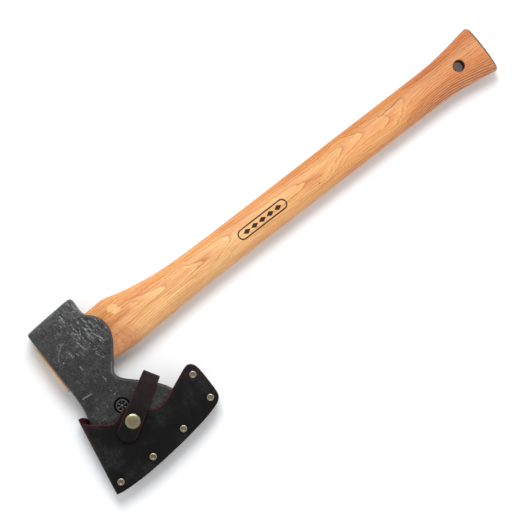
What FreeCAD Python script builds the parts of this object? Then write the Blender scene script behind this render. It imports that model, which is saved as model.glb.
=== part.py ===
"""Forged felling axe with a riveted leather blade sheath.

Design axes while drawing: x runs down the handle from the head's top plane, y from
the handle towards the poll (the blade points to -y), z through the thickness, with
the blade's mid-plane at z = 0.  Everything is shifted by ROW_SHIFT on export, so
that the row frame has its origin at the bottom centre of the whole object, lying on
its side.
"""
import FreeCAD, Part
import math
import os

V = FreeCAD.Vector
os.makedirs("parts", exist_ok=True)

# ---------------------------------------------------------------- driving sizes (mm)
# Head: tables are (y, value) from the poll to the cutting edge.
HEAD_LEFT = [(60, 0.35), (44, 0.35), (0, 0.35), (-20, 0.15), (-30, -0.25), (-40, -1.05), (-45, -1.95),
             (-50, -3.15), (-60, -5.8), (-70, -8.1), (-80, -10.7), (-90, -13.5), (-100, -16.3),
             (-107.5, -18.6), (-118, -21.9)]
HEAD_RIGHT = [(60, 52.1), (44, 52.1), (40, 51.8), (36, 51.6), (33, 51.8), (31, 52.4), (29, 53.7),
              (27, 55.8), (24, 58.8), (20, 61.8), (16, 63.8), (12, 64.8), (8, 65.0), (4, 64.6),
              (0, 63.5), (-4, 61.6), (-8, 59.1), (-12.5, 55.8), (-17, 52.4), (-20.5, 49.4),
              (-23.5, 46.6), (-27, 43.8), (-30, 42.4), (-33, 42.2), (-36, 43.1), (-39, 45.2),
              (-42, 47.9), (-46, 52.1), (-50, 56.2), (-55, 61.2), (-60, 65.9), (-65, 70.2),
              (-70, 73.6), (-75, 76.1), (-80, 78.6), (-90, 83.7), (-98, 87.9), (-118, 98.4)]
HEAD_HALF = [(60, 15.3), (49, 15.4), (40, 15.7), (30, 16.1), (20, 16.5), (5, 16.5), (-4, 15.7),
             (-11, 14.2), (-19, 11.6), (-27, 9.4), (-35, 8.0), (-43, 6.95), (-50, 6.2)]
HEAD_CORNER = [(60, 2.0), (40, 2.0), (20, 2.4), (0, 2.4), (-20, 2.8), (-35, 3.0), (-50, 3.0),
               (-65, 2.8), (-80, 2.4), (-95, 1.8), (-118, 0.9)]
EDGE_CURVE = [(-30, -104.6), (-18.6, -107.3), (-10, -108.9), (0, -109.8), (10, -110.1),
              (20, -109.9), (30, -109.3), (45, -107.9), (60, -105.6), (75, -102.3),
              (87.9, -98.0), (100, -93.2)]
POLL_PLANE_Y = 46.3            # height of the poll face at the head's top corner
POLL_PLANE_SLOPE = 0.056       # its rise per mm along the handle
POLL_EDGE_R = 2.4
FACE_TAPER = 0.075             # blade half thickness gained per mm away from the edge
BEVEL_SLOPE = 0.20
EDGE_HALF_LAND = 0.25
STAMP_CENTRE = (29.8, -59.3)
STAMP_R = 7.9
STAMP_DEPTH = 0.45

# Handle: x, top y, bottom y, half thickness z, oval exponent.
HANDLE = [(-2.5, 31.6, -18.6, 10.3, 2.5), (10, 31.1, -19.0, 10.2, 2.5), (25, 30.6, -19.5, 10.1, 2.5),
          (40, 30.0, -20.1, 10.0, 2.5), (52, 29.6, -20.6, 10.0, 2.5), (62, 29.8, -21.45, 10.0, 2.5),
          (68, 30.1, -21.85, 10.6, 2.5), (73, 30.2, -22.15, 11.4, 2.5), (79, 29.0, -22.35, 12.0, 2.5),
          (86, 27.0, -22.15, 12.3, 2.45), (94, 25.0, -21.85, 12.5, 2.4), (104, 22.8, -21.45, 12.5, 2.35),
          (115, 20.9, -20.95, 12.4, 2.3), (128, 19.1, -20.35, 12.3, 2.25), (145, 17.8, -19.75, 12.2, 2.2),
          (165, 17.0, -19.35, 12.1, 2.2), (190, 16.7, -19.15, 12.0, 2.2), (225, 16.6, -19.15, 11.9, 2.2),
          (265, 16.6, -19.15, 11.8, 2.2), (310, 16.6, -19.05, 11.8, 2.2), (355, 16.5, -18.95, 11.8, 2.2),
          (400, 16.3, -18.95, 11.8, 2.2), (430, 16.2, -19.15, 11.9, 2.2), (446, 16.6, -19.55, 12.3, 2.2),
          (456, 17.3, -20.25, 12.95, 2.2), (466, 18.4, -21.45, 13.75, 2.25), (476, 19.7, -22.95, 14.5, 2.3),
          (486, 21.5, -24.75, 15.0, 2.3), (496, 22.8, -26.45, 15.3, 2.3), (506, 24.1, -28.15, 15.5, 2.3)]
TENON_TOP_X = -2.5
HANDLE_END_X = 498.3
HANDLE_END_CROWN_R = 400.0
HANDLE_END_FILLET = 3.2
EYE_CLEARANCE = 0.06
HANG_HOLE = (469.0, -1.65)
HANG_HOLE_R = 5.0
HANG_HOLE_SINK = 1.6

WEDGE_TOP_HALF = 2.5
WEDGE_TIP_HALF = 0.45
WEDGE_DEPTH = 38.0
RING_CENTRE_Y = 6.5
RING_R_TOP, RING_R_TIP = 7.2, 6.7
RING_WALL_TOP, RING_WALL_TIP = 1.5, 0.5
RING_DEPTH = 12.0

# Sheath
LEATHER = 2.8
WELT_HALF = 2.0
WELT_Y = -111.0                # the pocket is welt thick below this line
SLIDE_SLOPE = 0.1788           # dx per dy of the way the sheath pulls off
POCKET_HEEL_W = 106.6          # heel side limit of the pocket, in w = x - SLIDE_SLOPE * y
HEEL_TAPER = 0.175
FOLD_X0, FOLD_Y0 = -11.6, -46.0
BLADE_GAP = 0.35
BOTTOM_EDGE = [(-25.4, -121.8), (-17.6, -123.3), (-7.6, -124.0), (2.4, -124.2), (12.4, -124.0),
               (22.4, -123.5), (32.4, -122.8), (42.4, -121.8), (52.4, -120.8), (62.4, -119.6),
               (72.4, -118.1), (82.4, -116.5), (92.4, -114.2), (99.6, -112.0)]
HEEL_EDGE = [(99.6, -112.0), (103.2, -110.2), (105.7, -107.4), (106.9, -103.5), (107.3, -96.0),
             (107.3, -85.0), (107.1, -78.0), (106.0, -71.9), (103.9, -68.3), (100.6, -66.4)]
FRONT_MOUTH = [(100.6, -66.4), (97.2, -66.8), (92.4, -68.6), (87.4, -70.7), (82.4, -72.8), (77.4, -74.9),
               (72.4, -77.3), (67.4, -79.6), (62.4, -80.9), (57.4, -81.0), (52.4, -79.9), (47.8, -77.2),
               (44.6, -73.4), (42.3, -69.5), (39.4, -66.2), (35.6, -64.0), (31.4, -63.0), (27.4, -63.1),
               (22.4, -65.0), (17.4, -66.9), (13.4, -67.3), (9.4, -65.7), (5.4, -62.9), (2.4, -60.4),
               (-2.6, -56.8), (-7.6, -52.3), (-12.4, -47.2)]
BACK_MOUTH = [(100.6, -66.4), (97.2, -66.8), (92.4, -68.6), (87.4, -70.7), (82.4, -72.8), (76.4, -75.2),
              (70.4, -76.9), (64.4, -76.6), (58.6, -73.0), (53.4, -67.0), (47.4, -62.8), (40.4, -61.0),
              (33.4, -60.6), (26.4, -61.8), (19.4, -63.4), (13.4, -63.6), (7.4, -61.2), (2.4, -57.2),
              (-1.6, -52.6), (-5.0, -48.2), (-8.4, -45.2), (-12.4, -45.4)]
EDGE_RIVETS = [(-14.6, -114.7), (23.4, -114.5), (61.6, -111.2), (99.2, -103.5), (99.2, -76.7)]
RIVET_HEAD_R = 3.4
RIVET_SHANK_R = 1.6
RIVET_HEAD_H = 1.0

# Strap: u runs from the snap towards the bend over the beard.
STRAP_T = 2.6
SNAP_CENTRE = (29.1, -76.5)
STRAP_DIR = (0.8582, 0.5133)
STRAP_TIP_U = -20.8
STRAP_TIP_R = 9.7
STRAP_HINGE_U = 36.6
STRAP_BEND_R = 9.55
STRAP_ROOT_U = -11.0
STRAP_HALF_W = [(-11, 9.7), (0, 9.6), (15, 9.0), (36.6, 8.4), (50, 8.3)]
STRAP_FRONT_Z = [(-20.8, 9.1), (-15, 9.9), (-8, 11.2), (0, 11.69), (8, 11.85), (16, 11.6),
                 (26, 10.6), (36.6, 9.40)]
HINGE_GAP = 0.3
STRAP_RIVETS_U = [-3.5, 10.5]
SNAP_LIFT = 3.0                # strap's underside above the front panel at the snap

ROW_SHIFT = V(-237.1, 37.5, 16.5)


# ---------------------------------------------------------------- helpers
def pchip(table, q):
    """Monotone cubic through (position, value) pairs, clamped at the ends."""
    t = sorted(table)
    xs, ys = [p[0] for p in t], [p[1] for p in t]
    n = len(xs)
    if q <= xs[0]:
        return ys[0]
    if q >= xs[-1]:
        return ys[-1]
    h = [xs[i + 1] - xs[i] for i in range(n - 1)]
    d = [(ys[i + 1] - ys[i]) / h[i] for i in range(n - 1)]
    m = [d[0]] + [0.0] * (n - 2) + [d[-1]]
    for i in range(1, n - 1):
        if d[i - 1] * d[i] > 0:
            w1, w2 = 2 * h[i] + h[i - 1], h[i] + 2 * h[i - 1]
            m[i] = (w1 + w2) / (w1 / d[i - 1] + w2 / d[i])
    i = max(j for j in range(n - 1) if xs[j] <= q)
    s = (q - xs[i]) / h[i]
    return ((1 + 2 * s) * (1 - s) ** 2 * ys[i] + s * (1 - s) ** 2 * h[i] * m[i]
            + s * s * (3 - 2 * s) * ys[i + 1] + s * s * (s - 1) * h[i] * m[i + 1])


def poly(points):
    return Part.makePolygon([V(*p) for p in points] + [V(*points[0])])


def prism(points2d, z0, z1):
    f = Part.Face(poly([(x, y, z0) for x, y in points2d]))
    return f.extrude(V(0, 0, z1 - z0))


def spline_edge(points2d, z):
    c = Part.BSplineCurve()
    c.interpolate([V(x, y, z) for x, y in points2d])
    return c.toShape()


def only(shape):
    """The largest solid of a boolean's result."""
    return max(shape.Solids, key=lambda s: s.Volume)


def blade_half(y):
    """Half thickness of the head at height y, before the bevel is ground."""
    if y >= -50:
        return pchip(HEAD_HALF + [(-55, WELT_HALF - BLADE_GAP + FACE_TAPER * (-55 - WELT_Y))], y)
    return WELT_HALF - BLADE_GAP + FACE_TAPER * (y - WELT_Y)


def pocket_half(x, y):
    w = x - SLIDE_SLOPE * y
    return WELT_HALF + max(0.0, min(FACE_TAPER * (y - WELT_Y), HEEL_TAPER * (POCKET_HEEL_W - w)))


# ---------------------------------------------------------------- head
def head_section(y):
    x0, x1 = pchip(HEAD_LEFT, y), pchip(HEAD_RIGHT, y)
    h = blade_half(y)
    r = min(pchip(HEAD_CORNER, y), 0.8 * h)
    k = r * (1 - math.sqrt(0.5))
    p = lambda x, z: V(x, y, z)
    edges = [
        Part.LineSegment(p(x0 + r, h), p(x1 - r, h)),
        Part.Arc(p(x1 - r, h), p(x1 - k, h - k), p(x1, h - r)),
        Part.LineSegment(p(x1, h - r), p(x1, -h + r)),
        Part.Arc(p(x1, -h + r), p(x1 - k, -h + k), p(x1 - r, -h)),
        Part.LineSegment(p(x1 - r, -h), p(x0 + r, -h)),
        Part.Arc(p(x0 + r, -h), p(x0 + k, -h + k), p(x0, -h + r)),
        Part.LineSegment(p(x0, -h + r), p(x0, h - r)),
        Part.Arc(p(x0, h - r), p(x0 + k, h - k), p(x0 + r, h)),
    ]
    return Part.Wire([e.toShape() for e in edges])


def edge_y(x):
    return pchip(EDGE_CURVE, x)


def swept_cutter(section, stations):
    wires = [poly([(x, y, z) for y, z in section(x)]) for x in stations]
    return Part.makeLoft(wires, True, False)


def handle_ring(x, grow=0.0, count=28):
    """Points round the handle's oval at one station."""
    top, bot = pchip([(r[0], r[1]) for r in HANDLE], x), pchip([(r[0], r[2]) for r in HANDLE], x)
    half, n = pchip([(r[0], r[3]) for r in HANDLE], x), pchip([(r[0], r[4]) for r in HANDLE], x)
    shrink = (2 + math.cos(2 * math.pi / count)) / 3      # a cubic runs this far inside its poles
    cy, a, b = (top + bot) / 2, ((top - bot) / 2 + grow) / shrink, (half + grow) / shrink
    pts = []
    for i in range(count):
        t = 2 * math.pi * i / count
        c, s = math.cos(t), math.sin(t)
        rad = (abs(c) ** n + abs(s) ** n) ** (-1.0 / n)
        pts.append(V(x, cy + a * rad * c, b * rad * s))
    return pts


def handle_loft(stations, grow=0.0):
    """Smooth closed solid whose cubic surface follows the ovals at these stations."""
    poles = [handle_ring(x, grow) for x in stations]
    n, m = len(stations), len(poles[0])
    surf = Part.BSplineSurface()
    surf.buildFromPolesMultsKnots(poles, [4] + [1] * (n - 4) + [4], [1] * (m + 1),
                                  [float(i) for i in range(n - 2)], [float(i) for i in range(m + 1)],
                                  False, True, 3, 3)
    side = surf.toShape()
    caps = []
    for x in (stations[0], stations[-1]):
        edge = [e for e in side.Edges if abs(e.BoundBox.XMin - x) < 0.01 and abs(e.BoundBox.XMax - x) < 0.01][0]
        caps.append(Part.Face(Part.Wire([edge])))
    shell = Part.makeShell([side] + caps)
    shell.sewShape()
    solid = Part.makeSolid(shell)
    if solid.Volume < 0:
        solid.reverse()
    return solid


EYE_STATIONS = [-14, -8, -2.5, 5, 13, 21, 29, 37, 45, 51, 56, 61, 66, 71, 76, 82]


def make_head():
    ys = [52, 47.5, 43, 39, 36, 33, 30, 27, 24, 20, 16, 12, 8, 4, 0, -4, -8, -12, -16, -20, -24,
          -27.5, -31, -34.5, -38, -42, -46, -50, -55, -60, -66, -72, -79, -87, -96, -106, -116]
    body = Part.makeLoft([head_section(y) for y in ys], True, False)
    # flat poll face, a little higher on the handle side
    poll = prism([(-40, POLL_PLANE_Y - 40 * POLL_PLANE_SLOPE), (120, POLL_PLANE_Y + 120 * POLL_PLANE_SLOPE),
                  (120, 90), (-40, 90)], -30, 30)
    body = only(body.cut(poll))
    rim = [e for e in body.Edges if all(abs(v.Y - (POLL_PLANE_Y + POLL_PLANE_SLOPE * v.X)) < 1e-3
                                        for v in e.Vertexes)]
    for radius in [POLL_EDGE_R * k for k in (1.0, 0.94, 0.88, 0.8, 0.7, 0.6, 0.5, 0.4)]:
        try:
            rounded = body.makeFillet(radius, rim)
            if rounded.isValid() and rounded.Solids:
                body = only(rounded)
                print("poll rim rounded %.2f" % radius)
                break
        except Exception:
            continue
    else:
        print("poll rim left sharp")
    stations = [-34, -22, -10, 5, 20, 35, 50, 65, 78, 90, 102]
    land = swept_cutter(lambda x: [(edge_y(x), -20), (edge_y(x), 20), (-150, 20), (-150, -20)], stations)
    body = only(body.cut(land))
    for s in (1, -1):
        def side(x, s=s):
            y = edge_y(x)
            lo, hi = EDGE_HALF_LAND - 4 * BEVEL_SLOPE, EDGE_HALF_LAND + 26 * BEVEL_SLOPE
            return [(y - 4, s * lo), (y + 26, s * hi), (y + 26, s * 15), (y - 4, s * 15)]
        body = only(body.cut(swept_cutter(side, stations)))
    body = only(body.cut(handle_loft(EYE_STATIONS, EYE_CLEARANCE)))
    # plain round maker's-mark recess, with a raised ring and centre
    x, y = STAMP_CENTRE
    z = blade_half(y)
    tool = Part.makeCylinder(STAMP_R, 5, V(0, 0, -STAMP_DEPTH))
    ring = Part.makeCylinder(5.9, 5, V(0, 0, -STAMP_DEPTH - 1)).cut(Part.makeCylinder(4.7, 7, V(0, 0, -STAMP_DEPTH - 2)))
    tool = tool.cut(ring).cut(Part.makeCylinder(1.3, 7, V(0, 0, -STAMP_DEPTH - 2)))
    tool.rotate(V(0, 0, 0), V(1, 0, 0), math.degrees(math.atan(FACE_TAPER)))
    tool.translate(V(x, y, z))
    return only(body.cut(tool))


# ---------------------------------------------------------------- handle, wedge, ring
def make_handle():
    stations = EYE_STATIONS + [88, 95, 103, 112, 122, 134, 148, 165, 190, 225, 265, 310, 355, 400, 425,
                               440, 450, 459, 468, 477, 486, 496, 506, 512]
    body = handle_loft(stations)
    body = only(body.cut(Part.makeBox(30, 120, 60, V(TENON_TOP_X - 30, -60, -30))))
    ball = Part.makeSphere(HANDLE_END_CROWN_R, V(HANDLE_END_X - HANDLE_END_CROWN_R, -1.7, 0))
    end = Part.makeBox(60, 120, 60, V(470, -60, -30)).cut(ball)
    body = only(body.cut(end))
    rim = [e for e in body.Edges if e.BoundBox.XMin > 494]
    try:
        rounded = body.makeFillet(HANDLE_END_FILLET, rim)
        if rounded.isValid() and rounded.Solids:
            body = only(rounded)
        else:
            print("handle end left sharp")
    except Exception as e:
        print("handle end left sharp:", e)
    x, y = HANG_HOLE
    half = pchip([(row[0], row[3]) for row in HANDLE], x)
    body = body.cut(Part.makeCylinder(HANG_HOLE_R, 60, V(x, y, -30)))
    for s in (1, -1):
        cone = Part.makeCone(HANG_HOLE_R, HANG_HOLE_R + 3.0, 3.0, V(x, y, s * (half - HANG_HOLE_SINK)), V(0, 0, s))
        body = body.cut(cone)
    return only(body)


def make_wedge_blank():
    pts = [(-2.5, WEDGE_TOP_HALF), (WEDGE_DEPTH, WEDGE_TIP_HALF), (WEDGE_DEPTH, -WEDGE_TIP_HALF), (-2.5, -WEDGE_TOP_HALF)]
    return Part.Face(poly([(x, -40, z) for x, z in pts])).extrude(V(0, 90, 0))


def make_ring():
    top, tip = -2.3, RING_DEPTH - 2.3
    prof = poly([(top, RING_R_TOP - RING_WALL_TOP, 0), (top, RING_R_TOP, 0), (tip, RING_R_TIP, 0),
                 (tip, RING_R_TIP - RING_WALL_TIP, 0)])
    ring = Part.Face(prof).revolve(V(0, 0, 0), V(1, 0, 0), 360)
    ring.translate(V(0, RING_CENTRE_Y, 0))
    return only(ring) if ring.Solids else Part.Solid(Part.Shell(ring.Faces))


# ---------------------------------------------------------------- sheath
def fold_x(y):
    return FOLD_X0 + SLIDE_SLOPE * (y - FOLD_Y0)


def shell_section(y, inset, half, right=170.0):
    """U-shaped envelope at height y: half round at the fold, open to the right."""
    x0 = fold_x(y) + inset
    p = lambda x, z: V(x, y, z)
    return Part.Wire([Part.LineSegment(p(right, half), p(x0 + half, half)).toShape(),
                      Part.Arc(p(x0 + half, half), p(x0, 0), p(x0 + half, -half)).toShape(),
                      Part.LineSegment(p(x0 + half, -half), p(right, -half)).toShape(),
                      Part.LineSegment(p(right, -half), p(right, half)).toShape()])


def heel_envelope(extra):
    def section(y):
        x0 = POCKET_HEEL_W + SLIDE_SLOPE * y
        h = WELT_HALF + extra
        far = x0 + 120
        reach = 200
        return poly([(far, y, h), (x0, y, h), (x0 - reach, y, h + HEEL_TAPER * reach),
                     (x0 - reach, y, -h - HEEL_TAPER * reach), (x0, y, -h), (far, y, -h)])
    return Part.makeLoft([section(-30), section(-140)], True, True)


def envelope(inset, extra):
    top, bottom = -34.0, -140.0
    upper = Part.makeLoft([shell_section(top, inset, WELT_HALF + extra + FACE_TAPER * (top - WELT_Y)),
                           shell_section(WELT_Y, inset, WELT_HALF + extra)], True, True)
    lower = Part.makeLoft([shell_section(WELT_Y, inset, WELT_HALF + extra),
                           shell_section(bottom, inset, WELT_HALF + extra)], True, True)
    return only(upper.fuse(lower)).common(heel_envelope(extra))


def outline_face(mouth, left=-45.0, inset=0.0):
    b = [(x, y + inset) for x, y in BOTTOM_EDGE]
    h = [(x - inset, y + (inset if i == 0 else 0)) for i, (x, y) in enumerate(HEEL_EDGE)]
    m = [(x, y) if i else (x - inset, y) for i, (x, y) in enumerate(mouth)]
    corner = (left, b[0][1])
    top = (left, m[-1][1])
    edges = [Part.LineSegment(V(corner[0], corner[1], 0), V(b[0][0], b[0][1], 0)).toShape(),
             spline_edge(b, 0), spline_edge(h, 0), spline_edge(m, 0),
             Part.LineSegment(V(m[-1][0], m[-1][1], 0), V(top[0], top[1], 0)).toShape(),
             Part.LineSegment(V(top[0], top[1], 0), V(corner[0], corner[1], 0)).toShape()]
    return Part.Face(Part.Wire(edges))


def make_sheath_blank():
    leather = only(envelope(0.0, LEATHER).cut(envelope(LEATHER, 0.0)))
    front = outline_face(FRONT_MOUTH).extrude(V(0, 0, 30))
    back = outline_face(BACK_MOUTH).extrude(V(0, 0, -30))
    return only(leather.common(front).fuse(leather.common(back)).removeSplitter())


def make_welt():
    """Strip between the panels, round the edge and up the heel."""
    cavity = envelope(LEATHER, 0.0)
    inner = [(x, y - 1.0) for x, y in EDGE_CURVE if -17 < x < 87]
    w = POCKET_HEEL_W + 0.35
    corner = (w + SLIDE_SLOPE * -98.6, -98.6)
    top_y = -50.0
    edges = [Part.LineSegment(V(-45, -160, 0), V(140, -160, 0)).toShape(),
             Part.LineSegment(V(140, -160, 0), V(140, top_y, 0)).toShape(),
             Part.LineSegment(V(140, top_y, 0), V(w + SLIDE_SLOPE * top_y, top_y, 0)).toShape(),
             Part.LineSegment(V(w + SLIDE_SLOPE * top_y, top_y, 0), V(corner[0], corner[1], 0)).toShape(),
             spline_edge([corner] + [(75, -103.6), (60, -106.8), (45, -109.0), (30, -110.4), (15, -111.0), (0, -110.9),
                                     (-10, -110.1), (-18, -108.8)], 0),
             Part.LineSegment(V(-18, -108.8, 0), V(-45, -108.8, 0)).toShape(),
             Part.LineSegment(V(-45, -108.8, 0), V(-45, -160, 0)).toShape()]
    strip = Part.Face(Part.Wire(edges)).extrude(V(0, 0, 40))
    strip.translate(V(0, 0, -20))
    outside = outline_face(FRONT_MOUTH).extrude(V(0, 0, 40))
    outside.translate(V(0, 0, -20))
    return only(cavity.common(strip).common(outside))


# ---------------------------------------------------------------- strap
UX, UY = STRAP_DIR
SX, SY = SNAP_CENTRE


def panel_out(y):
    return WELT_HALF + LEATHER + FACE_TAPER * (y - WELT_Y)


def strap_frame(u, z, tangent, tilt):
    """Centre, across-width direction and outward normal of the strap at one station."""
    c = V(SX + u * UX, SY + u * UY, z)
    across = V(UY, -UX, -tilt * FACE_TAPER * UX)
    across.normalize()
    t = V(tangent[0] * UX, tangent[0] * UY, tangent[1])
    t.normalize()
    n = across.cross(t)
    n.normalize()
    return c, across, n


def strap_section(u, z, tangent, tilt, half_w, t=STRAP_T):
    c, a, n = strap_frame(u, z, tangent, tilt)
    q = [c + a * half_w + n * (t / 2), c - a * half_w + n * (t / 2),
         c - a * half_w - n * (t / 2), c + a * half_w - n * (t / 2)]
    return Part.makePolygon(q + [q[0]])


def front_z(u):
    return pchip(STRAP_FRONT_Z, u)


def back_z(u):
    flush = -(panel_out(SY + u * UY) + STRAP_T / 2 + 0.02)
    s = min(1.0, max(0.0, (u - 22.0) / (STRAP_HINGE_U - 22.0)))
    s = s * s * (3 - 2 * s)
    return flush * (1 - s) + (front_z(STRAP_HINGE_U) - 2 * STRAP_BEND_R) * s


def make_strap():
    e = 0.05
    # front leg, tip to hinge
    us = [-32, -26, -20.8, -15, -8, 0, 8, 16, 26, STRAP_HINGE_U - HINGE_GAP / 2]
    secs = []
    for u in us:
        slope = (front_z(u + e) - front_z(u - e)) / (2 * e) if -20.7 < u < 36.4 else (0.14 if u < 0 else -0.10)
        z = front_z(u) if u >= -20.8 else front_z(-20.8) + 0.14 * (u + 20.8)
        tilt = 1.0 if u <= 8 else 1.0 - 0.5 * (u - 8) / (STRAP_HINGE_U - 8)
        secs.append(strap_section(u, z, (1, slope), tilt, pchip(STRAP_HALF_W, u)))
    flap = Part.makeLoft(secs, True, False)
    # round tip
    cu = STRAP_TIP_U + STRAP_TIP_R
    disc = Part.makeCylinder(STRAP_TIP_R, 40, V(0, 0, -20))
    keep = disc.fuse(Part.makeBox(80, 60, 40, V(0, -30, -20)))
    keep.rotate(V(0, 0, 0), V(0, 0, 1), math.degrees(math.atan2(UY, UX)))
    keep.translate(V(SX + cu * UX, SY + cu * UY, 10))
    flap = only(flap.common(keep))
    # bend round the beard, from the hinge down to the back leg
    cz = front_z(STRAP_HINGE_U) - STRAP_BEND_R
    secs = []
    for deg in [89.2, 76, 62, 46, 30, 15, 0, -15, -30, -46, -62, -76, -90]:
        a = math.radians(deg)
        u = STRAP_HINGE_U + STRAP_BEND_R * math.cos(a)
        z = cz + STRAP_BEND_R * math.sin(a)
        tilt = 0.5 * math.sin(a) if deg > 0 else 0.8 * math.sin(a)
        secs.append(strap_section(u, z, (math.sin(a), -math.cos(a)), tilt, pchip(STRAP_HALF_W, u)))
    bend = Part.makeLoft(secs, True, False)
    # back leg, flat on the back panel
    secs = []
    for u in [STRAP_HINGE_U, 32, 27, 22, 14, 6, -2, STRAP_ROOT_U]:
        slope = (back_z(min(u + e, STRAP_HINGE_U)) - back_z(u - e)) / (e + min(e, STRAP_HINGE_U - u)) if u < 36 else 0.0
        tilt = -1.0 if u <= 22 else -1.0 + 0.2 * (u - 22) / (STRAP_HINGE_U - 22)
        secs.append(strap_section(u, back_z(u), (-1, -slope), tilt, pchip(STRAP_HALF_W, u)))
    root = Part.makeLoft(secs, True, False)
    return only(flap), only(bend), only(root)


# ---------------------------------------------------------------- fasteners
def revolve(profile):
    """Solid of revolution about z from an (r, z) profile that starts and ends on the axis or closes on itself."""
    f = Part.Face(poly([(r, 0, z) for r, z in profile]))
    s = f.revolve(V(0, 0, 0), V(0, 0, 1), 360)
    return only(s) if s.Solids else Part.Solid(Part.Shell(s.Faces))


def dome(r, h, z0, n=6):
    """Points of a low dome of radius r rising h above z0, from the rim to the axis."""
    return [(r * math.cos(math.pi / 2 * i / n), z0 + h * math.sin(math.pi / 2 * i / n)) for i in range(n + 1)]


def place(shape, x, y, z, normal_tilt=0.0, flip=False):
    s = shape.copy()
    if flip:
        s.rotate(V(0, 0, 0), V(1, 0, 0), 180)
    if normal_tilt:
        s.rotate(V(0, 0, 0), V(1, 0, 0), normal_tilt)
    s.translate(V(x, y, z))
    return s


TILT = math.degrees(math.atan(FACE_TAPER))


def make_edge_rivets():
    h = WELT_HALF + LEATHER
    head = revolve([(0, -h - 0.35), (RIVET_SHANK_R, -h - 0.35), (RIVET_SHANK_R, h), (RIVET_HEAD_R, h),
                    (RIVET_HEAD_R, h + 0.35), (RIVET_HEAD_R - 0.25, h + 0.75), (RIVET_HEAD_R - 0.8, h + RIVET_HEAD_H),
                    (2.15, h + RIVET_HEAD_H), (1.65, h + 0.75), (1.45, h + 0.3), (0, h + 0.25)])
    cap = revolve([(0, -h - 0.35), (RIVET_SHANK_R, -h - 0.35), (RIVET_SHANK_R, -h), (RIVET_HEAD_R, -h), (RIVET_HEAD_R, -h - 0.3)]
                  + [(r, -z) for r, z in dome(RIVET_HEAD_R, 0.8, h + 0.3)[1:]])
    heads = [place(head, x, y, 0) for x, y in EDGE_RIVETS]
    caps = [place(cap, x, y, 0) for x, y in EDGE_RIVETS]
    return heads, caps


def make_strap_rivets():
    heads, caps = [], []
    t = LEATHER + STRAP_T + 0.02
    # local z = 0 on the back panel's inner face, rising outwards through panel and strap
    post = revolve([(0, 0), (3.2, 0), (3.2, 0.7), (1.5, 0.7), (1.5, t + 0.35), (0, t + 0.35)])
    cap = revolve([(0, t + 0.35), (1.5, t + 0.35), (1.5, t), (RIVET_HEAD_R, t), (RIVET_HEAD_R, t + 0.3)]
                  + dome(RIVET_HEAD_R, 0.8, t + 0.3)[1:])
    for u in STRAP_RIVETS_U:
        x, y = SX + u * UX, SY + u * UY
        z = -(WELT_HALF + FACE_TAPER * (y - WELT_Y))
        heads.append(place(post, x, y, z, -TILT, flip=True))
        caps.append(place(cap, x, y, z, -TILT, flip=True))
    return heads, caps


def make_snap():
    x, y = SNAP_CENTRE
    z = panel_out(y)
    # local z = 0 on the front panel's outer face, rising outwards
    L, lift, T = LEATHER, SNAP_LIFT, STRAP_T
    post = revolve([(0, -L), (4.2, -L), (4.2, -L + 0.7), (1.7, -L + 0.7), (1.7, 1.6), (0, 1.6)])
    stud = revolve([(1.7, 0), (5.2, 0), (5.2, 0.45), (3.0, 0.7), (2.75, 1.3), (3.05, 1.9), (2.7, 2.45), (1.2, 2.6),
                    (0, 2.6), (0, 1.6), (1.7, 1.6)])
    socket = revolve([(3.2, 0.95), (5.6, 0.95), (5.9, 1.3), (5.9, lift), (1.4, lift), (1.4, 2.72), (2.8, 2.6), (3.25, 1.9), (3.2, 1.35)])
    top = lift + T
    cap = revolve([(0, 2.75), (1.35, 2.75), (1.35, top), (7.0, top), (7.3, top + 0.25), (7.3, top + 0.6)]
                  + dome(7.15, 1.15, top + 0.75)[1:])
    return [place(s, x, y, z, TILT) for s in (post, stud, socket, cap)]


# ---------------------------------------------------------------- build
head = make_head()
handle = make_handle()
wedge_blank = make_wedge_blank()
ring = make_ring()
wedge = only(handle.common(wedge_blank).cut(ring))
handle = only(handle.cut(wedge_blank).cut(ring))

sheath = make_sheath_blank()
welt = make_welt()
flap, bend, root = make_strap()
rivets, rivet_caps = make_edge_rivets()
strap_posts, strap_caps = make_strap_rivets()
post, stud, socket, cap = make_snap()

for r in rivets + rivet_caps:
    sheath = only(sheath.cut(r))
    welt = only(welt.cut(r))
for r in strap_posts + strap_caps:
    sheath = only(sheath.cut(r))
    root = only(root.cut(r))
sheath = only(sheath.cut(post).cut(stud))
root = only(root.cut(sheath))
flap = only(flap.cut(cap).cut(socket))

NODES = {
    "axe_head": [head],
    "handle": [handle],
    "wooden_wedge": [wedge],
    "ring_wedge": [ring],
    "sheath_leather": [sheath],
    "sheath_welt": [welt],
    "strap_root": [root],
    "strap_bend": [bend],
    "strap_flap": [flap],
    "snap_cap": [cap],
    "snap_socket": [socket],
    "snap_stud": [stud],
    "snap_post": [post],
    "edge_rivets": rivets,
    "edge_rivet_caps": rivet_caps,
    "strap_rivet_posts": strap_posts,
    "strap_rivet_caps": strap_caps,
}

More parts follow.
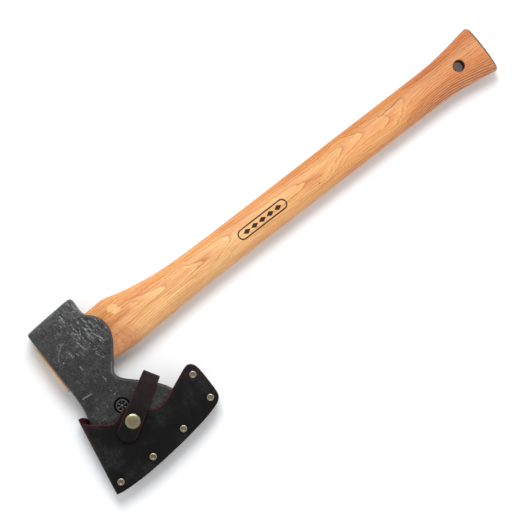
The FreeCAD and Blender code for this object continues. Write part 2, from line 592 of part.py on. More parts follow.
whole = None
for name, solids in NODES.items():
    shape = solids[0] if len(solids) == 1 else Part.makeCompound(solids)
    shape = shape.copy()
    shape.translate(ROW_SHIFT)
    shape.exportStep("parts/%s.step" % name)
    b = shape.BoundBox
    whole = b if whole is None else whole.united(b)
    print("%-18s solids %d valid %s volume %.0f  x %.1f..%.1f y %.1f..%.1f z %.1f..%.1f" % (
        name, len(solids), all(s.isValid() for s in solids), shape.Volume,
        b.XMin, b.XMax, b.YMin, b.YMax, b.ZMin, b.ZMax))
print("whole x %.2f..%.2f y %.2f..%.2f z %.2f..%.2f" % (whole.XMin, whole.XMax, whole.YMin, whole.YMax, whole.ZMin, whole.ZMax))
hx, hy = HANG_HOLE
print("hang hole", hx + ROW_SHIFT.x, hy + ROW_SHIFT.y, ROW_SHIFT.z, "straight wall",
      2 * (pchip([(row[0], row[3]) for row in HANDLE], hx) - HANG_HOLE_SINK))
print("hinge", SX + STRAP_HINGE_U * UX + ROW_SHIFT.x, SY + STRAP_HINGE_U * UY + ROW_SHIFT.y,
      front_z(STRAP_HINGE_U) + STRAP_T / 2 + 0.1 + ROW_SHIFT.z)
print("poll point", 26 + ROW_SHIFT.x, POLL_PLANE_Y + 26 * POLL_PLANE_SLOPE + ROW_SHIFT.y, ROW_SHIFT.z)
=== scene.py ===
import bpy
import bmesh
import math
import numpy as np
from mathutils import Matrix, Vector
from mathutils.kdtree import KDTree


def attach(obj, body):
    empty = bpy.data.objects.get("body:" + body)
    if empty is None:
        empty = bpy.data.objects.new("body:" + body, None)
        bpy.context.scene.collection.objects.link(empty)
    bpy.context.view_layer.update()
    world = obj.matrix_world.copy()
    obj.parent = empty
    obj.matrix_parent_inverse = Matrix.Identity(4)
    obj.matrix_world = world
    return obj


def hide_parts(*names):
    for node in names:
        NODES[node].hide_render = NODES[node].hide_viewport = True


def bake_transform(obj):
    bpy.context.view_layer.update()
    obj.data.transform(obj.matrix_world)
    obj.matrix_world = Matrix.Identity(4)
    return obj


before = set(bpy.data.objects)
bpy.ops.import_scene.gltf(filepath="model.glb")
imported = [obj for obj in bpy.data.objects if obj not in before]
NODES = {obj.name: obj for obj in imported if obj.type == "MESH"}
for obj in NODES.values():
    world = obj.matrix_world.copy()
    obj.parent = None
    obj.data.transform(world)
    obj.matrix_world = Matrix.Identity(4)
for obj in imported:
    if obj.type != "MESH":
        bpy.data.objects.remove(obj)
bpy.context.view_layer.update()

# ------------------------------------------------------------------ design axes -> row frame
# Design axes: x down the handle from the head's top plane, y towards the poll, z through
# the thickness with the blade's mid-plane at 0, in mm.
SHIFT = np.array([-237.1, 37.5, 16.5])


def row(p):
    """Design millimetres to the row frame's metres."""
    return (np.asarray(p, float) + SHIFT) * 1e-3


def rowv(x, y, z):
    return Vector(row((x, y, z)))


# ------------------------------------------------------------------ small numeric tools
def pchip(table, q):
    """Monotone cubic through (position, value) pairs, clamped at the ends, for arrays."""
    t = sorted(table)
    xs, ys = np.array([p[0] for p in t], float), np.array([p[1] for p in t], float)
    h, d = np.diff(xs), np.diff(ys) / np.diff(xs)
    m = np.zeros(len(xs))
    m[0], m[-1] = d[0], d[-1]
    for i in range(1, len(xs) - 1):
        if d[i - 1] * d[i] > 0:
            w1, w2 = 2 * h[i] + h[i - 1], h[i] + 2 * h[i - 1]
            m[i] = (w1 + w2) / (w1 / d[i - 1] + w2 / d[i])
    q = np.clip(np.asarray(q, float), xs[0], xs[-1])
    i = np.clip(np.searchsorted(xs, q, side="right") - 1, 0, len(xs) - 2)
    s = (q - xs[i]) / h[i]
    return ((1 + 2 * s) * (1 - s) ** 2 * ys[i] + s * (1 - s) ** 2 * h[i] * m[i]
            + s * s * (3 - 2 * s) * ys[i + 1] + s * s * (s - 1) * h[i] * m[i + 1])


def smooth(a, b, x):
    t = np.clip((x - a) / (b - a), 0, 1)
    return t * t * (3 - 2 * t)


def _hash(ix, iy, iz, seed):
    n = (ix * 374761393 + iy * 668265263 + iz * 2147483647 + seed * 974634777) & 0xFFFFFFFF
    n = ((n ^ (n >> 13)) * 1274126177) & 0xFFFFFFFF
    n = (n ^ (n >> 16)) & 0xFFFFFFFF
    n = (n * 2246822519) & 0xFFFFFFFF
    return ((n ^ (n >> 15)) & 0xFFFFFF) / float(0xFFFFFF)


def noise3(p, scale, seed=0):
    """Value noise in -1..1; p in mm, scale is the feature size in mm (a number or one per axis)."""
    q = np.asarray(p, float) / np.asarray(scale, float) + 1000.0 + 17.13 * seed
    i = np.floor(q).astype(np.int64)
    f = q - i
    f = f * f * f * (f * (f * 6 - 15) + 10)
    out = 0.0
    for dx in (0, 1):
        for dy in (0, 1):
            for dz in (0, 1):
                w = ((f[:, 0] if dx else 1 - f[:, 0]) * (f[:, 1] if dy else 1 - f[:, 1]) * (f[:, 2] if dz else 1 - f[:, 2]))
                out = out + w * _hash(i[:, 0] + dx, i[:, 1] + dy, i[:, 2] + dz, seed)
    return out * 2 - 1


def fbm(p, scale, seed=0, octaves=3):
    s = np.asarray(scale, float)
    out, amp, total = 0.0, 1.0, 0.0
    for k in range(octaves):
        out = out + amp * noise3(p, s / 2 ** k, seed + 11 * k)
        total += amp
        amp *= 0.5
    return out / total


# ------------------------------------------------------------------ mesh tools
def mesh_object(name, verts, faces, smooth_shade=True):
    """verts in design mm."""
    me = bpy.data.meshes.new(name)
    co = row(verts)
    faces = np.asarray(faces, np.int64)
    me.vertices.add(len(co))
    me.vertices.foreach_set("co", co.ravel())
    nl = faces.shape[1]
    me.loops.add(faces.size)
    me.loops.foreach_set("vertex_index", faces.ravel())
    me.polygons.add(len(faces))
    me.polygons.foreach_set("loop_start", np.arange(0, faces.size, nl))
    me.polygons.foreach_set("loop_total", np.full(len(faces), nl))
    me.update(calc_edges=True)
    me.validate()
    ob = bpy.data.objects.new(name, me)
    bpy.context.scene.collection.objects.link(ob)
    if smooth_shade:
        me.polygons.foreach_set("use_smooth", np.ones(len(me.polygons), bool))
    return ob


def grid_faces(rows, cols, wrap=True):
    """Quads of a rows x cols grid of vertices, the columns closing on themselves if wrap."""
    r = np.arange(rows - 1)[:, None]
    c = np.arange(cols if wrap else cols - 1)[None, :]
    c2 = (c + 1) % cols
    a, b = r * cols + c, r * cols + c2
    d, e = (r + 1) * cols + c, (r + 1) * cols + c2
    return np.stack([a, b, e, d], -1).reshape(-1, 4)


def coords(ob):
    co = np.empty(len(ob.data.vertices) * 3)
    ob.data.vertices.foreach_get("co", co)
    return co.reshape(-1, 3) * 1e3 - SHIFT


def set_coords(ob, p):
    ob.data.vertices.foreach_set("co", row(p).ravel())
    ob.data.update()


def normals(ob):
    n = np.empty(len(ob.data.vertices) * 3)
    ob.data.vertices.foreach_get("normal", n)
    return n.reshape(-1, 3)


def apply_modifiers(ob):
    dg = bpy.context.evaluated_depsgraph_get()
    new = bpy.data.meshes.new_from_object(ob.evaluated_get(dg))
    old = ob.data
    ob.modifiers.clear()
    ob.data = new
    bpy.data.meshes.remove(old)
    return ob


def boolean(ob, cutter, op="DIFFERENCE", solver="EXACT"):
    m = ob.modifiers.new("cut", "BOOLEAN")
    m.operation, m.object, m.solver = op, cutter, solver
    apply_modifiers(ob)
    bpy.data.objects.remove(cutter)
    return ob


def smooth_by_angle(ob, deg=38):
    """Smooth shading with hard edges above an angle."""
    me = ob.data
    me.polygons.foreach_set("use_smooth", np.ones(len(me.polygons), bool))
    bm = bmesh.new()
    bm.from_mesh(me)
    lim = math.radians(deg)
    for e in bm.edges:
        if len(e.link_faces) == 2 and e.calc_face_angle(0) > lim:
            e.smooth = False
    bm.to_mesh(me)
    bm.free()


def attribute(ob, name, values):
    a = ob.data.attributes.get(name) or ob.data.attributes.new(name, "FLOAT", "POINT")
    a.data.foreach_set("value", np.asarray(values, np.float32))


def surface_of_revolution(name, profile, seg=64):
    """profile: (r, z) pairs from the axis to the axis; centred on the design origin."""
    prof = np.array(profile, float)
    ang = np.linspace(0, 2 * np.pi, seg, endpoint=False)
    v = np.stack([prof[:, None, 0] * np.cos(ang), prof[:, None, 0] * np.sin(ang),
                  np.repeat(prof[:, 1:2], seg, 1)], -1).reshape(-1, 3)
    return v, grid_faces(len(prof), seg)


# ------------------------------------------------------------------ materials
def lin(rgb):
    """sRGB 0..255 to linear RGBA."""
    return tuple((c / 255 / 12.92 if c / 255 <= 0.04045 else ((c / 255 + 0.055) / 1.055) ** 2.4) for c in rgb) + (1.0,)


class Mat:
    """A small helper for node materials."""

    def __init__(self, name):
        self.m = bpy.data.materials.new(name)
        self.m.use_nodes = True
        self.t = self.m.node_tree
        self.t.nodes.clear()
        self.out = self.t.nodes.new("ShaderNodeOutputMaterial")
        self.p = self.t.nodes.new("ShaderNodeBsdfPrincipled")
        self.link(self.p.outputs[0], self.out.inputs["Surface"])

    def link(self, a, b):
        self.t.links.new(a, b)

    def put(self, sock, value):
        if hasattr(value, "is_output"):
            self.link(value, sock)
        else:
            sock.default_value = value

    def coords(self):
        """Row frame position in mm (all pieces keep their origin at the row's origin)."""
        c = self.t.nodes.new("ShaderNodeTexCoord")
        s = self.t.nodes.new("ShaderNodeVectorMath")
        s.operation = "SCALE"
        s.inputs["Scale"].default_value = 1000.0
        self.link(c.outputs["Object"], s.inputs[0])
        return s.outputs[0]

    def vec(self, op, a, b=None, c=None, scale=None):
        n = self.t.nodes.new("ShaderNodeVectorMath")
        n.operation = op
        self.put(n.inputs[0], a)
        if b is not None:
            self.put(n.inputs[1], b)
        if scale is not None:
            self.put(n.inputs["Scale"], scale)
        return n.outputs["Value"] if op in ("LENGTH", "DISTANCE", "DOT_PRODUCT") else n.outputs["Vector"]

    def math(self, op, a, b=None, c=None, clamp=False):
        n = self.t.nodes.new("ShaderNodeMath")
        n.operation = op
        n.use_clamp = clamp
        self.put(n.inputs[0], a)
        if b is not None:
            self.put(n.inputs[1], b)
        if c is not None:
            self.put(n.inputs[2], c)
        return n.outputs[0]

    def sep(self, v):
        n = self.t.nodes.new("ShaderNodeSeparateXYZ")
        self.put(n.inputs[0], v)
        return n.outputs

    def comb(self, x, y, z):
        n = self.t.nodes.new("ShaderNodeCombineXYZ")
        for s, v in zip(n.inputs, (x, y, z)):
            self.put(s, v)
        return n.outputs[0]

    def comb3(self, v):
        """The same value on all three channels."""
        return self.comb(v, v, v)

    def noise(self, v, scale, detail=2.0, rough=0.5, dist=0.0, stretch=None, out="Fac"):
        """scale is features per mm; stretch multiplies the coordinates per axis first."""
        if stretch is not None:
            v = self.vec("MULTIPLY", v, stretch)
        n = self.t.nodes.new("ShaderNodeTexNoise")
        self.put(n.inputs["Vector"], v)
        n.inputs["Scale"].default_value = scale
        n.inputs["Detail"].default_value = detail
        n.inputs["Roughness"].default_value = rough
        n.inputs["Distortion"].default_value = dist
        return n.outputs[out]

    def voronoi(self, v, scale, feature="F1", out="Distance", stretch=None, rand=1.0):
        if stretch is not None:
            v = self.vec("MULTIPLY", v, stretch)
        n = self.t.nodes.new("ShaderNodeTexVoronoi")
        n.feature = feature
        self.put(n.inputs["Vector"], v)
        n.inputs["Scale"].default_value = scale
        n.inputs["Randomness"].default_value = rand
        return n.outputs[out]

    def ramp(self, f, stops, interp="LINEAR"):
        n = self.t.nodes.new("ShaderNodeValToRGB")
        n.color_ramp.interpolation = interp
        el = n.color_ramp.elements
        while len(el) > 1:
            el.remove(el[-1])
        el[0].position, el[0].color = stops[0][0], self.col(stops[0][1])
        for pos, c in stops[1:]:
            e = el.new(pos)
            e.color = self.col(c)
        self.put(n.inputs[0], f)
        return n.outputs[0]

    def curve(self, x, table):
        """Straight lines through (x, value) pairs."""
        x0, x1 = table[0][0], table[-1][0]
        v0, v1 = min(v for _, v in table), max(v for _, v in table)
        f = self.range(x, x0, x1, kind="LINEAR")
        r = self.ramp(f, [((a - x0) / (x1 - x0), float((v - v0) / (v1 - v0))) for a, v in table])
        return self.math("MULTIPLY_ADD", r, v1 - v0, v0)

    @staticmethod
    def col(c):
        return c if isinstance(c, tuple) and len(c) == 4 else ((c, c, c, 1.0) if isinstance(c, (int, float)) else lin(c))

    def mix(self, f, a, b, mode="MIX"):
        n = self.t.nodes.new("ShaderNodeMix")
        n.data_type = "RGBA"
        n.blend_type = mode
        n.clamp_factor = True
        self.put(n.inputs[0], f)
        self.put(n.inputs[6], a)
        self.put(n.inputs[7], b)
        return n.outputs[2]

    def range(self, f, a, b, c=0.0, d=1.0, kind="SMOOTHSTEP"):
        n = self.t.nodes.new("ShaderNodeMapRange")
        n.interpolation_type = kind
        self.put(n.inputs[0], f)
        for s, v in zip(n.inputs[1:5], (a, b, c, d)):
            self.put(s, v)
        return n.outputs[0]

    def attr(self, name):
        n = self.t.nodes.new("ShaderNodeAttribute")
        n.attribute_name = name
        return n.outputs["Fac"]

    def bump(self, height, strength=0.3, distance=0.0003, normal=None):
        n = self.t.nodes.new("ShaderNodeBump")
        n.inputs["Strength"].default_value = strength
        n.inputs["Distance"].default_value = distance
        self.put(n.inputs["Height"], height)
        if normal is not None:
            self.link(normal, n.inputs["Normal"])
        return n.outputs[0]

    def set(self, **kw):
        names = {"color": "Base Color", "metal": "Metallic", "rough": "Roughness", "normal": "Normal",
                 "coat": "Coat Weight", "coat_rough": "Coat Roughness", "spec": "Specular IOR Level",
                 "aniso": "Anisotropic", "sheen": "Sheen Weight", "sss": "Subsurface Weight"}
        for k, v in kw.items():
            self.put(self.p.inputs[names[k]], v)
        return self.m


# Wood: the growth rings' edges on the handle's faces. Long tongues point down the handle, one
# behind the other, and the rings crowd into tight lines towards the edges. Stations are in
# handle millimetres: X from the middle of the shaft, Y across it, Z through it.
RING_TIPS = [(-230, 0.2), (-191, 1.0), (-147, 2.0), (-93, 3.0), (-64, 4.0), (33, 5.0), (66, 6.0),
             (88, 7.0), (118, 8.0), (137, 9.0), (168, 9.5), (230, 9.9)]
RING_AXIS = [(-230, 4.0), (-191, 7.0), (-147, 4.0), (-93, 1.2), (-62, 4.5), (-20, 2.0), (33, -1.4),
             (64, 6.0), (88, 5.0), (118, 0.5), (138, 7.5), (168, 9.5), (230, 7.5)]
RING_LOW = [(-230, 0.010), (-165, 0.016), (-100, 0.024), (-20, 0.018), (40, 0.020), (92, 0.013),
            (120, 0.012), (150, 0.022), (185, 0.026), (230, 0.022)]


def wood(name, end_grain=False, stain=None):
    s = Mat(name)
    p = s.coords()
    px, py, pz = s.sep(p)
    base = s.vec("SUBTRACT", p, (35.3, 37.5, 16.5))
    half = (0.5, 0.5, 0.5)
    n1 = s.vec("SUBTRACT", s.noise(p, 0.034, 1.0, 0.5, stretch=(0.55, 1.0, 1.0), out="Color"), half)
    n2 = s.vec("SUBTRACT", s.noise(p, 0.125, 2.0, 0.5, stretch=(0.50, 1.0, 1.0), out="Color"), half)
    n3 = s.vec("SUBTRACT", s.noise(p, 0.40, 2.0, 0.55, stretch=(0.20, 1.0, 1.0), out="Color"), half)
    q = s.vec("ADD", base, s.vec("MULTIPLY", n1, (14.0, 6.0, 4.0)))
    q = s.vec("ADD", q, s.vec("MULTIPLY", n2, (10.0, 3.4, 2.0)))
    q = s.vec("ADD", q, s.vec("MULTIPLY", n3, (8.0, 1.3, 1.0)))
    x, y, z = s.sep(q)
    X, Y, Z = s.sep(base)
    dy = s.math("SUBTRACT", y, s.curve(x, RING_AXIS))
    low = s.math("MULTIPLY", s.math("POWER", s.math("MAXIMUM", s.math("MULTIPLY", dy, -1.0), 0.0), 2.0), s.curve(x, RING_LOW))
    high = s.math("MULTIPLY", s.math("POWER", s.math("MAXIMUM", dy, 0.0), 2.0), 0.013)
    ring_no = s.math("ADD", s.curve(x, RING_TIPS), s.math("ADD", low, high))
    ring_no = s.math("ADD", ring_no, s.math("MULTIPLY", s.math("SUBTRACT", 12.0, z), 0.16))
    saw = s.math("FRACT", ring_no)
    which = s.math("FLOOR", ring_no)
    late = s.ramp(saw, [(0.0, 0.55), (0.02, 1.0), (0.07, 0.94), (0.20, 0.80), (0.50, 0.50), (0.80, 0.20),
                        (0.94, 0.03), (0.985, 0.0), (1.0, 0.55)])
    ring_tone = s.noise(s.comb(which, 3.7, 1.9), 1.7, 0.0)
    fib = s.noise(p, 2.4, 3.0, 0.62, stretch=(0.040, 1.0, 1.0))
    fib2 = s.noise(p, 0.62, 3.0, 0.6, stretch=(0.042, 1.0, 1.0))
    patch = s.noise(p, 0.022, 3.0, 0.55, stretch=(0.8, 1.6, 1.6))
    light = s.mix(s.range(ring_tone, 0.3, 0.7), WOOD_PALE, WOOD_LIGHT)
    darkc = s.mix(s.range(ring_tone, 0.35, 0.65), WOOD_MID, WOOD_RED)
    soft = s.math("MULTIPLY_ADD", late, 0.54, 0.23)
    c = s.mix(s.math("MULTIPLY", soft, s.range(patch, 0.25, 0.7, 0.72, 1.0)), light, darkc)
    # the dark start of each ring, and the bright line before it
    line = s.ramp(saw, [(0.0, 0.5), (0.010, 1.0), (0.045, 0.80), (0.12, 0.26), (0.30, 0.0), (0.975, 0.0), (1.0, 0.5)])
    c = s.mix(s.math("MULTIPLY", line, s.range(patch, 0.3, 0.65, 0.48, 0.86)), c, WOOD_LATE)
    c = s.mix(s.ramp(saw, [(0.80, 0.0), (0.93, 0.44), (0.975, 0.44), (0.99, 0.0)]), c, WOOD_PALE)
    c = s.mix(s.range(patch, 0.52, 0.78, 0.0, 0.42), c, WOOD_RED)
    # second-order lines between, tighter towards the edges
    fine_no = s.math("MULTIPLY", ring_no, 2.7)
    fine = s.ramp(s.math("FRACT", fine_no), [(0.0, 0.3), (0.06, 1.0), (0.5, 0.2), (0.9, 0.0), (1.0, 0.3)])
    edge = s.math("ADD", s.range(s.math("ABSOLUTE", s.math("ADD", Y, 1.0)), 5.0, 13.0, 0.10, 0.62), 0.0)
    c = s.mix(s.math("MULTIPLY", fine, edge), c, WOOD_LATE)
    c = s.mix(s.range(fib2, 0.47, 0.68, 0.0, 0.42), c, WOOD_LATE)
    c = s.mix(s.range(fib2, 0.43, 0.28, 0.0, 0.34), c, WOOD_PALE)
    c = s.mix(s.range(fib, 0.48, 0.72, 0.0, 0.36), c, WOOD_DARK)
    c = s.mix(s.range(fib, 0.42, 0.22, 0.0, 0.26), c, WOOD_PALE)
    # cross grain and a pale spot where the shoulder cuts the fibres
    top = s.range(Z, -1.0, 2.0)
    swirl = s.math("MULTIPLY", s.math("MULTIPLY", s.range(x, -181.0, -200.0), s.range(y, 8.0, -6.0)), top)
    ax, ay = s.math("ADD", x, 238.0), s.math("ADD", y, -2.0)
    arc = s.math("SQRT", s.math("ADD", s.math("MULTIPLY", ax, ax), s.math("MULTIPLY", s.math("MULTIPLY", ay, ay), 1.2)))
    arcs = s.ramp(s.math("FRACT", s.math("DIVIDE", s.math("MULTIPLY_ADD", patch, 26.0, arc), 6.5)), [(0.0, 0.3), (0.1, 1.0), (0.5, 0.3), (0.9, 0.0), (1.0, 0.3)])
    c = s.mix(s.math("MULTIPLY", swirl, 0.60), c, lin((206, 134, 92)))
    c = s.mix(s.math("MULTIPLY", s.math("MULTIPLY", swirl, arcs), 0.34), c, lin((166, 96, 62)))
    bx = s.math("DIVIDE", s.math("ADD", x, 193.0), 6.0)
    by = s.math("DIVIDE", s.math("ADD", y, -16.0), 3.8)
    blob = s.range(s.math("ADD", s.math("MULTIPLY", bx, bx), s.math("MULTIPLY", s.math("MULTIPLY_ADD", bx, 0.8, by), s.math("MULTIPLY_ADD", bx, 0.8, by))), 1.25, 0.55)
    c = s.mix(s.math("MULTIPLY", s.math("MULTIPLY", blob, top), s.range(fib2, 0.35, 0.6, 0.85, 0.62)), c, lin((255, 216, 160)))
    # open pores: short dark dashes along the grain, just outside each ring's start
    pore = s.voronoi(p, 1.0, stretch=(0.09, 1.0, 1.0))
    early = s.range(saw, 0.45, 0.02, 0.0, 1.0)
    dash = s.math("MULTIPLY", s.range(pore, 0.20, 0.07), s.math("ADD", s.math("MULTIPLY", early, 0.75), 0.14))
    c = s.mix(s.math("MULTIPLY", dash, 0.50), c, WOOD_DARK)
    # mineral streaks and two small marks
    streak = s.noise(p, 0.20, 2.0, 0.5, stretch=(0.045, 1.0, 1.0))
    c = s.mix(s.range(streak, 0.66, 0.78, 0.0, 0.45), c, WOOD_DARK)
    mx = s.math("SUBTRACT", X, 28.5)
    my = s.math("ADD", Y, 8.2)
    dot = s.range(s.math("ADD", s.math("MULTIPLY", mx, mx), s.math("MULTIPLY", my, my)), 0.9, 0.3)
    ly = s.math("SUBTRACT", y, s.math("MULTIPLY_ADD", s.math("SUBTRACT", x, 122.0), 0.08, 7.6))
    mark = s.math("MULTIPLY", s.range(s.math("ABSOLUTE", ly), 0.75, 0.2), s.math("MULTIPLY", s.range(x, 108.0, 114.0), s.range(x, 137.0, 132.0)))
    c = s.mix(s.math("MULTIPLY", s.math("MULTIPLY", s.math("MAXIMUM", dot, mark), top), 0.62), c, lin((92, 48, 26)))
    # warmer and deeper towards the knob
    c = s.mix(s.range(X, -70.0, 60.0), c, s.mix(1.0, c, (0.93, 0.80, 0.70, 1.0), "MULTIPLY"))
    c = s.mix(s.range(X, 95.0, 185.0), c, s.mix(1.0, c, (0.84, 0.69, 0.66, 1.0), "MULTIPLY"))
    c = s.mix(s.range(y, 5.0, 14.0), c, s.mix(1.0, c, (0.94, 0.80, 0.67, 1.0), "MULTIPLY"))
    far_top = s.math("MULTIPLY", s.range(X, -50.0, 95.0), s.range(y, 1.0, 8.0))
    c = s.mix(far_top, c, s.mix(1.0, c, (0.87, 0.87, 0.78, 1.0), "MULTIPLY"))
    knob_low = s.math("MULTIPLY", s.range(X, 125.0, 170.0), s.range(Y, -4.0, -13.0))
    c = s.mix(s.math("MULTIPLY", s.math("MULTIPLY", knob_low, late), 0.22), c, lin((150, 84, 56)))
    # close lines that gather below the shaft's end and fan out over the knob
    wx, wy, wz = s.sep(s.vec("ADD", base, s.vec("MULTIPLY", n3, (6.0, 1.5, 1.0))))
    below = s.math("SUBTRACT", wy, s.curve(wx, KNOB_FLOW))
    lane = s.math("DIVIDE", below, s.curve(wx, KNOB_GAP))
    lane_tone = s.noise(s.comb(s.math("FLOOR", lane), 5.1, 2.3), 1.3, 0.0)
    dark_line = s.ramp(s.math("FRACT", lane), [(0.0, 0.10), (0.12, 0.55), (0.26, 1.0), (0.42, 0.55), (0.62, 0.05), (0.95, 0.0), (1.0, 0.10)])
    pale_line = s.ramp(s.math("FRACT", lane), [(0.0, 0.2), (0.10, 0.0), (0.50, 0.0), (0.72, 1.0), (0.92, 0.8), (1.0, 0.2)])
    fan = s.math("MULTIPLY", s.range(wx, 108.0, 132.0), s.range(below, 1.4, -0.6))
    fan = s.math("MAXIMUM", fan, s.math("MULTIPLY", s.range(wx, 140.0, 175.0), 0.36))
    fan = s.math("MULTIPLY", fan, s.range(lane_tone, 0.3, 0.7, 0.55, 1.0))
    c = s.mix(s.math("MULTIPLY", s.math("MULTIPLY", pale_line, fan), 0.50), c, lin((238, 176, 124)))
    c = s.mix(s.math("MULTIPLY", s.math("MULTIPLY", dark_line, fan), 0.72), c, lin((138, 74, 44)))
    if end_grain:
        bx = s.math("ABSOLUTE", s.math("ADD", X, 34.0))
        by = s.math("ABSOLUTE", s.math("ADD", Y, 2.5))
        fx = s.math("MAXIMUM", s.math("SUBTRACT", bx, 22.6), 0.0)
        fd = s.math("SQRT", s.math("ADD", s.math("MULTIPLY", fx, fx), s.math("MULTIPLY", by, by)))
        frame_line = s.range(s.math("ABSOLUTE", s.math("SUBTRACT", fd, 4.6)), 0.86, 0.50)
        cell = s.math("ABSOLUTE", s.math("SUBTRACT", s.math("FRACT", s.math("DIVIDE", s.math("ADD", X, 34.0 + 4.5), 9.0)), 0.5))
        gem = s.math("ADD", s.math("MULTIPLY", cell, 9.0 * 0.62), by)
        gems = s.math("MULTIPLY", s.range(gem, 2.75, 2.30), s.range(bx, 22.6, 22.4))
        burnt = s.math("MULTIPLY", s.math("MAXIMUM", frame_line, gems), top)
        burnt = s.math("MULTIPLY", burnt, s.range(fib, 0.30, 0.55, 0.90, 1.0))
        c = s.mix(burnt, c, lin((26, 13, 9)))
        eg = s.attr("end_grain")
        dots = s.voronoi(s.comb(0.0, py, pz), 1.6)
        ec = s.mix(s.range(dots, 0.30, 0.12), lin((252, 208, 156)), lin((204, 152, 104)))
        c = s.mix(s.math("MULTIPLY", eg, 0.85), c, ec)
        # painted shade in dark brown on the hanging hole's walls and round the knob end's rim
        c = s.mix(s.attr("painted_shade"), c, lin((66, 34, 24)))
    c = s.mix(1.0, c, (WOOD_LEVEL, WOOD_LEVEL, WOOD_LEVEL, 1.0), "MULTIPLY")
    if stain is not None:
        c = s.mix(1.0, c, stain, "MULTIPLY")
    h = s.math("SUBTRACT", s.math("MULTIPLY", fib, 0.40), s.math("MULTIPLY", dash, 1.0))
    h = s.math("ADD", h, s.math("MULTIPLY", late, 0.3))
    rough = s.range(s.math("ADD", s.math("MULTIPLY", late, 0.5), fib2), 0.2, 1.2, 0.56, 0.42)
    return s.set(color=c, rough=rough, metal=0.0, normal=s.bump(h, 0.28, 0.00014), spec=0.32)


def forged_steel():
    s = Mat("forged_black_steel")
    p = s.coords()
    px, py, pz = s.sep(p)
    big = s.noise(p, 0.045, 3.0, 0.55)
    mid = s.noise(p, 0.22, 4.0, 0.6)
    fine = s.noise(p, 1.9, 3.0, 0.65)
    mott = s.noise(p, 0.62, 3.0, 0.62)
    tone = s.math("ADD", s.math("MULTIPLY", big, 0.5), s.math("MULTIPLY", mid, 0.5))
    c = s.ramp(tone, [(0.30, lin((36, 36, 37))), (0.5, lin((52, 52, 53))), (0.70, lin((74, 74, 75)))])
    # painted light and shade: darker towards the blade and the toe side, lighter towards the poll and the handle side
    painted_light_ramp = s.math("MULTIPLY_ADD", px, 0.0040, s.math("MULTIPLY_ADD", py, 0.0042, 1.78))
    c = s.mix(1.0, c, s.comb3(s.math("MINIMUM", s.math("MAXIMUM", painted_light_ramp, 0.62), 1.35)), "MULTIPLY")
    c = s.mix(1.0, c, s.comb3(s.range(mott, 0.30, 0.70, 0.64, 1.32)), "MULTIPLY")
    # scale pits and rubbed high spots
    pits = s.voronoi(p, 0.42, out="Distance")
    pit = s.math("MULTIPLY", s.range(pits, 0.34, 0.16), s.range(s.noise(p, 0.10, 2.0, 0.5), 0.46, 0.62))
    c = s.mix(s.math("MULTIPLY", pit, 0.8), c, lin((18, 18, 19)))
    speck = s.range(s.noise(p, 0.85, 3.0, 0.7), 0.63, 0.74)
    rub = s.math("MULTIPLY", speck, s.range(s.noise(p, 0.05, 2.0, 0.5), 0.42, 0.62))
    wear_and_highlight = s.attr("wear_and_highlight")
    rough_zone = s.attr("rough_zone")
    # short strokes and chips where the scale has flaked
    st = s.noise(p, 0.62, 3.0, 0.6, stretch=(1.15, 0.42, 1.0))
    chip = s.noise(p, 0.50, 3.0, 0.66)
    strokes = s.math("MULTIPLY", s.math("MAXIMUM", s.range(st, 0.60, 0.65), s.math("MULTIPLY", s.range(chip, 0.63, 0.67), 0.9)), rough_zone)
    hollows = s.math("MULTIPLY", s.range(st, 0.43, 0.36), rough_zone)
    c = s.mix(s.math("MULTIPLY", hollows, 0.80), c, lin((17, 17, 18)))
    dots = s.voronoi(p, 0.115, out="Distance")
    dot_on = s.range(s.noise(p, 0.09, 1.0, 0.5), 0.50, 0.60)
    dot = s.math("MULTIPLY", s.range(dots, 0.115, 0.075), dot_on)
    scr = s.noise(p, 0.5, 2.0, 0.5, stretch=(2.4, 0.10, 1.0))
    scr2 = s.noise(p, 0.55, 2.0, 0.5, stretch=(0.10, 2.2, 1.0))
    scratch = s.math("MAXIMUM", s.range(scr, 0.72, 0.76), s.math("MULTIPLY", s.range(scr2, 0.73, 0.77), 0.8))
    bright = s.math("MAXIMUM", s.math("MULTIPLY", rub, 0.50), s.math("MULTIPLY", scratch, 0.55))
    bright = s.math("MAXIMUM", bright, s.math("MULTIPLY", strokes, 0.80))
    bright = s.math("MAXIMUM", bright, s.math("MULTIPLY", dot, 0.42))
    # rubbed wear together with painted highlights along the head's corners, the poll's rim and the notch's edge
    bright = s.math("MAXIMUM", bright, wear_and_highlight, clamp=True)
    c = s.mix(bright, c, lin((184, 186, 186)))
    c = s.mix(s.attr("recess"), c, lin((9, 9, 10)))
    edge = s.attr("ground")
    grind = s.noise(p, 2.2, 2.0, 0.6, stretch=(0.05, 1.0, 1.0))
    bare = s.mix(s.range(grind, 0.3, 0.7), lin((150, 150, 150)), lin((205, 205, 205)))
    c = s.mix(edge, c, bare)
    metal = s.math("ADD", s.math("MULTIPLY", s.math("MAXIMUM", bright, edge), 0.5), 0.45, clamp=True)
    rough = s.math("SUBTRACT", s.range(s.math("ADD", s.math("MULTIPLY", fine, 0.4), s.math("MULTIPLY", mid, 0.6)), 0.25, 0.75, 0.40, 0.62),
                   s.math("MULTIPLY", s.math("MAXIMUM", edge, bright), 0.14))
    h = s.math("ADD", s.math("MULTIPLY", fine, 0.4), s.math("MULTIPLY", mid, 1.0))
    h = s.math("ADD", h, s.math("MULTIPLY", mott, 0.9))
    h = s.math("SUBTRACT", h, s.math("MULTIPLY", pit, 1.2))
    h = s.math("ADD", h, s.math("SUBTRACT", s.math("MULTIPLY", strokes, 0.8), s.math("MULTIPLY", hollows, 0.8)))
    h = s.math("SUBTRACT", h, s.math("MULTIPLY", scratch, 0.3))
    return s.set(color=c, metal=metal, rough=rough, normal=s.bump(h, 0.60, 0.0004), spec=s.math("MULTIPLY_ADD", s.attr("recess"), -0.4, 0.45))


